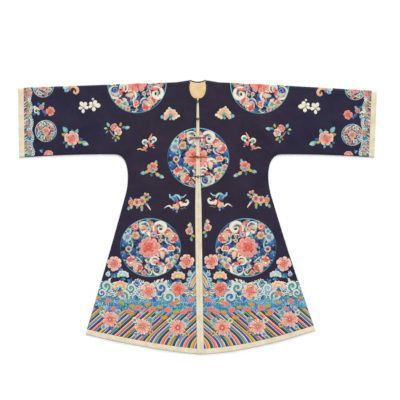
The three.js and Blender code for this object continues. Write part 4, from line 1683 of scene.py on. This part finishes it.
def hemBorder(work, side, seed):
    chance = random.Random(seed)
    stripes(work, side, 36)
    # Sea: rows of rounded waves, then breaking crests
    for row in range(waves["rows"]):
        y = waves["top"] - waves["drop"] * row
        level = waves["level"] + waves["rise"] * row
        for u in rowOf(chance, waves, row):
            if u < sideSeamU(side, y) + waves["past"]:
                turn, size = chance.uniform(*waves["turn"]), chance.uniform(*waves["size"])
                strayed = y + chance.uniform(*waves["strayY"])
                waveArcs(work, side, u, strayed, size, chance.choice(waves["tones"]), turn, level)
    for u, y, radius, turn, fingers in crests:
        crest(work, side, u, y, radius, turn, fingers, chance.choice(("teal", "lightBlue", "blue", "teal")))
    # Clouds with the lucky shapes among them
    for row in range(clouds["rows"]):
        level = clouds["level"] - clouds["sink"] * row
        for u in rowOf(chance, clouds, row):
            strayed = clouds["top"] - clouds["drop"] * row + chance.uniform(*clouds["strayY"])
            y = strayed + 9 * math.sin(u / 60)
            if y > cloudFoot(u) and u < sideSeamU(side, y) + clouds["past"]:
                turn, size = chance.uniform(*clouds["turn"]), chance.uniform(*clouds["size"])
                cloudHead(work, side, u, y, size, chance.choice(clouds["tones"]), turn, level)
    for u, y, size, kind in luckyShapes:
        luckyShape(work, side, u, y, size, kind)
    rock(work, side)
    # Flowers over the sea
    blues = (deepBlue, brightBlue, deepTeal)
    for u, y, turn, size in seaSprigs:
        sprig(work, planSpot(side, u, y), 0, 0, turn, size, blues, 3, 50, 0.2 if y > -1020 else 1.0)
    smalls = (
        whiteTones, ("grey", "lavender", "paleGrey", "aqua"), ("goldBrown", "yellow", "yellow", "peach"),
        ("blue", "lightBlue", "aqua", "cream"),
    )
    corners = ((-0.95, 0.8, 15), (0.95, 0.8, 19), (1.05, -0.7, 13), (-0.8, -0.95, 14))
    for kind, u, y, radius, tones in hemFlowers:
        here = planSpot(side, u, y)
        level = 1.1 if -1150 < y < -1020 else 0.4
        if kind == "peony":
            sprig(work, here, 0.5 * radius, -0.6 * radius, -130, 0.8 * radius, blues, 2, level=level - 0.2)
            peony(work, here, 0, 0, radius, tones, level, 8)
        elif kind == "fan":
            sprig(work, here, 0, -0.4 * radius, 180, 0.8 * radius, blues, 3, level=level - 0.2)
            fanBloom(work, here, 0, -4, radius, 0, tones, tealAqua, level)
        else:
            for (x, y1, size), small in zip(corners, smalls):
                bloom(work, here, x * radius, y1 * radius, size, small, ("teal", "yellow"), 5, 0.75)
            sprig(work, here, 0.2 * radius, -0.7 * radius, 180, 30, blues, 3, level=0.62)
            sprig(work, here, -0.6 * radius, 0.5 * radius, 50, 28, (limeLeaf, tealAqua), 2, level=0.62)
            sprig(work, here, 0.7 * radius, 0.1 * radius, -80, 26, (tealAqua, paleLeaf), 2, level=0.62)
            chrysanthemum(work, here, 0, 0, radius, tones, 0.8)
            if kind == "ringed":
                ringBloom(work, here, 0, 0, 0.32 * radius, ("deepRed", "rose"), ("cream", "blush"), 1.7)


def cuffBorder(work, side, seed):
    # The same sea on its side: short diagonals by the edging, then clouds, then white crests
    chance = random.Random(seed)
    diagonals = "deepRed gold royal teal coral cream navy aqua gold rose blue palePink".split()
    skies = (("lightBlue", "blue", "darkTeal"), ("aqua", "teal", "darkTeal"), ("cream", "aqua", "teal"))
    foot = sleeveFootY(side, 890)
    span = shoulderY(side, 890) - foot

    def cuffSpot(inwards, y, turn=0.0):
        return planSpot(side, cuffU(side, y) - plan["cuffEdging"] - inwards, y, turn)

    for k in range(int(span / 6) + 2):
        tone, reach = chance.choice(diagonals), chance.uniform(12, 18)
        strand(
            work, cuffSpot(0, foot + 6 * k), [(-2, -5), (reach, 6)], (6.4, 6.4), (tone, tone), None, 0.1,
            0.3, cells=3,
        )
    for k in range(int(span / 11) + 1):
        y = foot + 11 * k + 4
        wide = lerp(46, 36, clamp((y - foot) / span, 0, 1)) + 5 * math.sin(k * 0.9)
        for inwards in (18, 27, 36):
            if inwards < wide:
                tones = chance.choice(skies)
                dot(
                    work, cuffSpot(inwards, y + chance.uniform(-3, 3)), 0, 0, 8, tones,
                    0.3 + 0.02 * (k % 3), 0.15,
                )
        here = cuffSpot(wide - 3, y, 70 + chance.uniform(-30, 30))
        dot(work, here, 0, 0, 8, ("teal", "blue"), 0.4, 0.05, 4)
        scroll(work, here, 0, 0, chance.uniform(8, 12), 0, ("white", "cream"), None, 0.5)
        if chance.random() < 0.55:
            u = cuffU(side, y) - plan["cuffEdging"] - chance.uniform(14, 30)
            luckyShape(
                work, side, u, y + 5, chance.uniform(9, 14),
                chance.choice(("coral", "gold", "coral", "gold")),
            )


# Laying flat work on the cloth. In mm: how far out it is bent over the shoulder, the strip about the fold
# where it is divided and its longest edge there, how far it stands off the cloth, its lowest height, how
# far it keeps from the seams, and the smallest face that is kept.
laid = {
    "foldFrom": 45,
    "stripMiddle": 4,
    "stripReach": 13,
    "longest": 2.5,
    "off": 0.25,
    "lowest": 0.03,
    "centreBack": 0.6,
    "sideSeam": 0.8,
    "sleeveSeam": 0.9,
    "cuffSeam": 0.5,
    "speck": 0.02,
}


def drape(side, face, x, y, h):
    lean = leanAt(min(y, 0))
    u = side["sign"] * (x - lean)
    fold = shoulderY(side, u)
    if face == "front" and y > fold - 0.5 and u > laid["foldFrom"]:
        radius = (heightIn(frontHeights, x, fold) + plan["wall"]) / 2
        beyond = y - fold
        turn = clamp(beyond / radius, 0, math.pi)
        rise = lerp(h, h * relief["backShare"], turn / math.pi)
        if turn >= math.pi:
            y = fold - (beyond - math.pi * radius)
            return x, y, max(heightIn(backHeights, x, y) - h * relief["backShare"], laid["lowest"])
        low = heightIn(backHeights, x, fold)
        middle = (2 * radius + low) / 2
        rise += laid["off"]
        height = middle + ((2 * radius - low) / 2 + rise) * math.cos(turn)
        return x, fold + (radius + rise) * math.sin(turn), max(height, laid["lowest"])
    if face == "back" and u > laid["foldFrom"]:
        y = min(y, fold - 1)
    inner = frontEdgeU(y) + relief["clear"] if face == "front" else laid["centreBack"]
    if y < plan["frontNeckDepth"]:
        u = max(u, inner)
    if y < plan["hip"][1]:
        u = min(u, sideSeamU(side, y) - laid["sideSeam"])
    if u > 600:
        u = min(u, cuffU(side, y) - plan["cuffEdging"] - laid["cuffSeam"])
    if u > plan["armpit"][0] and y > -600:
        y = max(y, sleeveFootY(side, u) + laid["sleeveSeam"])
    y = max(y, hemY(side, u) + plan["hemEdging"] + relief["clear"])
    x = side["sign"] * u + leanAt(min(y, 0))
    if face == "front":
        return x, y, heightIn(frontHeights, x, y) + plan["wall"] + h
    return x, y, max(heightIn(backHeights, x, y) - h * relief["backShare"], laid["lowest"])


embroidery = {"left": [], "right": []}


def layWork(work, name, sideName, face="front"):
    side = sides[sideName]
    bm = work.bm
    bm.normal_update()
    under = [f for f in bm.faces if f.normal.z < 0]
    bmesh.ops.reverse_faces(bm, faces=under)
    for _ in range(2 if face == "front" else 0):
        near = []
        for e in bm.edges:
            middle = (e.verts[0].co + e.verts[1].co) / 2
            u = side["sign"] * (middle.x - leanAt(0))
            off = abs(middle.y - shoulderY(side, u) - laid["stripMiddle"])
            if u > laid["foldFrom"] and off < laid["stripReach"] and e.calc_length() > laid["longest"]:
                near.append(e)
        if near:
            bmesh.ops.subdivide_edges(bm, edges=near, cuts=1, use_grid_fill=True)
    for v in bm.verts:
        v.co = drape(side, face, *v.co)
    if face == "back":
        bmesh.ops.reverse_faces(bm, faces=bm.faces)
    spent = [f for f in bm.faces if f.calc_area() < laid["speck"]]
    bmesh.ops.delete(bm, geom=spent, context="FACES")
    count = sum(len(f.verts) - 2 for f in bm.faces)
    piece = finishPiece(name, bm, floss)
    embroidery[sideName].append(piece)
    print(name, count, "triangles")


# Roundels, in mm: the radius, how the round is drawn out, and where its middle stands on the plan. Pairs
# are for the left half and the right one.
roundels = {
    "chest": {"radius": 156, "drawn": (1.0, 0.985, 1, 1), "x": 3, "y": -391, "parting": 3},
    "skirt": {"radius": 154, "drawn": (1.02, 0.98, 1, 1), "u": 246, "x": 3, "y": -853},
    "shoulder": {"radius": 152, "u": (313, 319), "x": 1, "over": 2},
    "fold": {"radius": 54, "u": (796, 811), "over": 2, "butterflyU": 655, "butterflyDown": 8},
}
# Sprays: each motif, its place (u, y) on the left half and on the right one, its turn and its own values
bodySprays = [
    (whitePair, (552, -124), (568, -129), 0),
    (peonySpray, (650, -292), (660, -292), 0),
    (redPair, (426, -242), (424, -248), 0),
    (fanSpray, (139, -170), (135, -165), 0),
    (bat, (250, -311), (261, -304), 0),
    (pinkSpray, (234, -445), (241, -438), 0),
    (budSpray, (40, -768), (40, -750), 60),
    (twinSpray, (301, -616), (308, -603), 0),
    (hookButterfly, (109, -618), (108, -609), 0),
]
cuffSprays = [
    (peony, (759, -152), (773, -170), 0, 0, 0, 24, redTones, 0.35, 7),
    (sprig, (776, -162), (790, -180), 0, 0, 0, 110, 20, (tealAqua, ("royal", "blue")), 2),
    (cuffButterfly, (816, -140), (834, -158), 0),
    (fanBloom, (768, -372), (774, -376), 0, 0, 0, 24, 0, redTones),
    (sprig, (800, -366), (806, -370), 0, 0, 0, 20, 24, (deepBlue, tealAqua), 2),
    (smallRoundel, (782, -253), (794, -273), 0, 56, 8),
]


def laySprays(work, side, pick, rows):
    for motif, left, right, turn, *values in rows:
        u, y = (left, right)[pick]
        place = planSpot(side, u, y, turn)
        if isinstance(motif, list):
            sew(work, place, motif)
        else:
            motif(work, place, *values)


for pick, (sideName, side) in enumerate(sides.items()):
    sign = side["sign"]

    # Chest roundel: the two fronts each carry half of it
    look = roundels["chest"]
    for face in ("front", "back"):
        work = Needlework(11)
        parting = look["parting"] * sign if face == "front" else 0
        place = spot(look["x"] + parting, look["y"]) @ Matrix.Diagonal(look["drawn"])
        roundel(work, place, look["radius"], 5)
        layWork(work, "chest_roundel_" + face + "_" + sideName, sideName, face)

    look = roundels["skirt"]
    for face in ("front", "back"):
        work = Needlework(21)
        place = spot(sign * look["u"] + look["x"], look["y"], 0, 1, sign > 0) @ Matrix.Diagonal(
            look["drawn"]
        )
        roundel(work, place, look["radius"], 5)
        layWork(work, "skirt_roundel_" + face + "_" + sideName, sideName, face)

    look = roundels["shoulder"]
    work = Needlework(31)
    u = look["u"][pick]
    place = spot(sign * u + look["x"], shoulderY(side, u) + look["over"])
    roundel(work, place @ spot(0, 0, sign * 90, 1, sign > 0), look["radius"], 5)
    layWork(work, "shoulder_roundel_" + sideName, sideName)

    for face in ("front", "back"):
        work = Needlework(41)
        laySprays(work, side, pick, bodySprays)
        work.chance = random.Random(43)
        laySprays(work, side, pick, cuffSprays)
        layWork(work, "sprays_" + face + "_" + sideName, sideName, face)

    look = roundels["fold"]
    work = Needlework(51)
    u = look["u"][pick]
    smallRoundel(work, planSpot(side, u, shoulderY(side, u) + look["over"]), look["radius"], 9)
    u = look["butterflyU"]
    foldButterfly(work, planSpot(side, u, shoulderY(side, u) - look["butterflyDown"]))
    layWork(work, "sleeve_fold_" + sideName, sideName)

    for face in ("front", "back"):
        work = Needlework(61)
        hemBorder(work, side, 71)
        layWork(work, "hem_border_" + face + "_" + sideName, sideName, face)
        work = Needlework(81)
        cuffBorder(work, side, 91)
        layWork(work, "cuff_border_" + face + "_" + sideName, sideName, face)
print("embroidery laid")


# Closures
def softenedCopy(node, name, material, round_):
    bm = solidCopy(node)
    bmesh.ops.dissolve_limit(bm, angle_limit=math.radians(4), verts=bm.verts, edges=bm.edges)
    sharp = [e for e in bm.edges if e.is_manifold and e.calc_face_angle() > math.radians(50)]
    bmesh.ops.bevel(
        bm,
        geom=sharp,
        offset=round_,
        segments=3,
        profile=0.5,
        affect="EDGES",
        material=-1,
        clamp_overlap=True,
    )
    piece = finishPiece(name, bm, material, 60)
    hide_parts(node)
    return piece


buttonLook = {"radius": 4.0, "lobes": 8, "groove": 0.35, "collar": 1.9}


def brassButton(number):
    low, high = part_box("button_" + str(number))
    centre = toPlan @ ((low + high) / 2)
    bm = bmesh.new()
    bmesh.ops.create_uvsphere(bm, u_segments=32, v_segments=20, radius=buttonLook["radius"])
    for v in bm.verts:
        angle = math.atan2(v.co.y, v.co.x)
        height = v.co.z / buttonLook["radius"]
        groove = abs(math.cos(angle * buttonLook["lobes"] / 2)) ** 0.6 * (1 - height**4)
        v.co.xy *= 1 - buttonLook["groove"] / buttonLook["radius"] * (1 - groove)
    bmesh.ops.create_cone(
        bm,
        cap_ends=True,
        segments=16,
        radius1=buttonLook["collar"],
        radius2=0.9,
        depth=1.2,
        matrix=Matrix.Translation((0, 0, -buttonLook["radius"] + 0.2)),
    )
    bmesh.ops.translate(bm, verts=bm.verts, vec=centre)
    for v in bm.verts:
        v.co.z = max(v.co.z, centre.z - buttonLook["radius"] + 0.02)
    piece = finishPiece("brass_button_" + str(number), bm, brass)
    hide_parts("button_" + str(number))


for number in range(1, 6):
    softenedCopy("loop_" + str(number), "silk_loop_" + str(number), darkCord, 0.45)
    softenedCopy("button_bar_" + str(number), "silk_bar_" + str(number), darkCord, 0.5)
    brassButton(number)
for node in ("neck_binding_left", "neck_binding_right", "neck_binding_back"):
    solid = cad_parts[node]
    solid.data.materials.clear()
    solid.data.materials.append(darkCord)
print("closures fastened")
# Floor, light and camera
stageLook = {
    "floor": "f4f4f4",
    "skyStrength": 0.6,
    "keyStrength": 1.55,
    "keySoftness": 24,
    "keyTowards": (0.15, 1.1, 1.0),
    "lowStrength": 2.4,
    "lowSoftness": 34,
    "lowTowards": (0.1, 1.0, 0.3),
    "floorSize": 9.0,
}


def makeFloor():
    # Matt studio paper: even and pale, with no gloss of its own
    material, tree, shader = newMaterial("studioPaper")
    grain = noiseOf(tree, objectCoords(tree), 500.0, 2.0)
    wire(tree, shader, {"Normal": bumpOf(tree, grain, 0.05, 0.0002)})
    colour = hexColour(stageLook["floor"])
    setSockets(shader, {"Base Color": colour, "Roughness": 0.9, "Specular IOR Level": 0.1})
    bm = bmesh.new()
    bmesh.ops.create_grid(bm, x_segments=4, y_segments=4, size=stageLook["floorSize"])
    mesh = bpy.data.meshes.new("studioFloor")
    bm.to_mesh(mesh)
    bm.free()
    mesh.materials.append(material)
    floor = bpy.data.objects.new("studioFloor", mesh)
    scene.collection.objects.link(floor)
    return floor


makeFloor()
world = bpy.data.worlds.new("studio")
world.use_nodes = True
background = world.node_tree.nodes["Background"]
background.inputs["Color"].default_value = (1, 1, 1, 1)
background.inputs["Strength"].default_value = stageLook["skyStrength"]
scene.world = world


def studioLamp(name):
    lamp = bpy.data.lights.new(name, "SUN")
    lamp.energy = stageLook[name + "Strength"]
    lamp.angle = math.radians(stageLook[name + "Softness"])
    holder = bpy.data.objects.new(name, lamp)
    holder.rotation_euler = Vector(stageLook[name + "Towards"]).to_track_quat("Z", "Y").to_euler()
    scene.collection.objects.link(holder)
    return holder


# The high lamp models the folds; the low, wide one lays the soft shadow along the hem and the cuffs.
studioLamp("key")
lowLamp = studioLamp("low")
lowLamp.visible_glossy = False

# x and y on the plan in mm, the rest in metres
cameraLook = {"x": 12.4, "y": -608.2, "height": 6.0, "width": 2.06}
lens = bpy.data.cameras.new("camera")
lens.sensor_width = 36
lens.lens = 36 * cameraLook["height"] / cameraLook["width"]
lens.clip_end = 100
camera = bpy.data.objects.new("camera", lens)
camera.location = toFrame @ Vector((cameraLook["x"], cameraLook["y"], 0))
camera.location.z = cameraLook["height"]
scene.collection.objects.link(camera)
scene.camera = camera
scene.view_settings.view_transform = "Standard"

print("stage set")
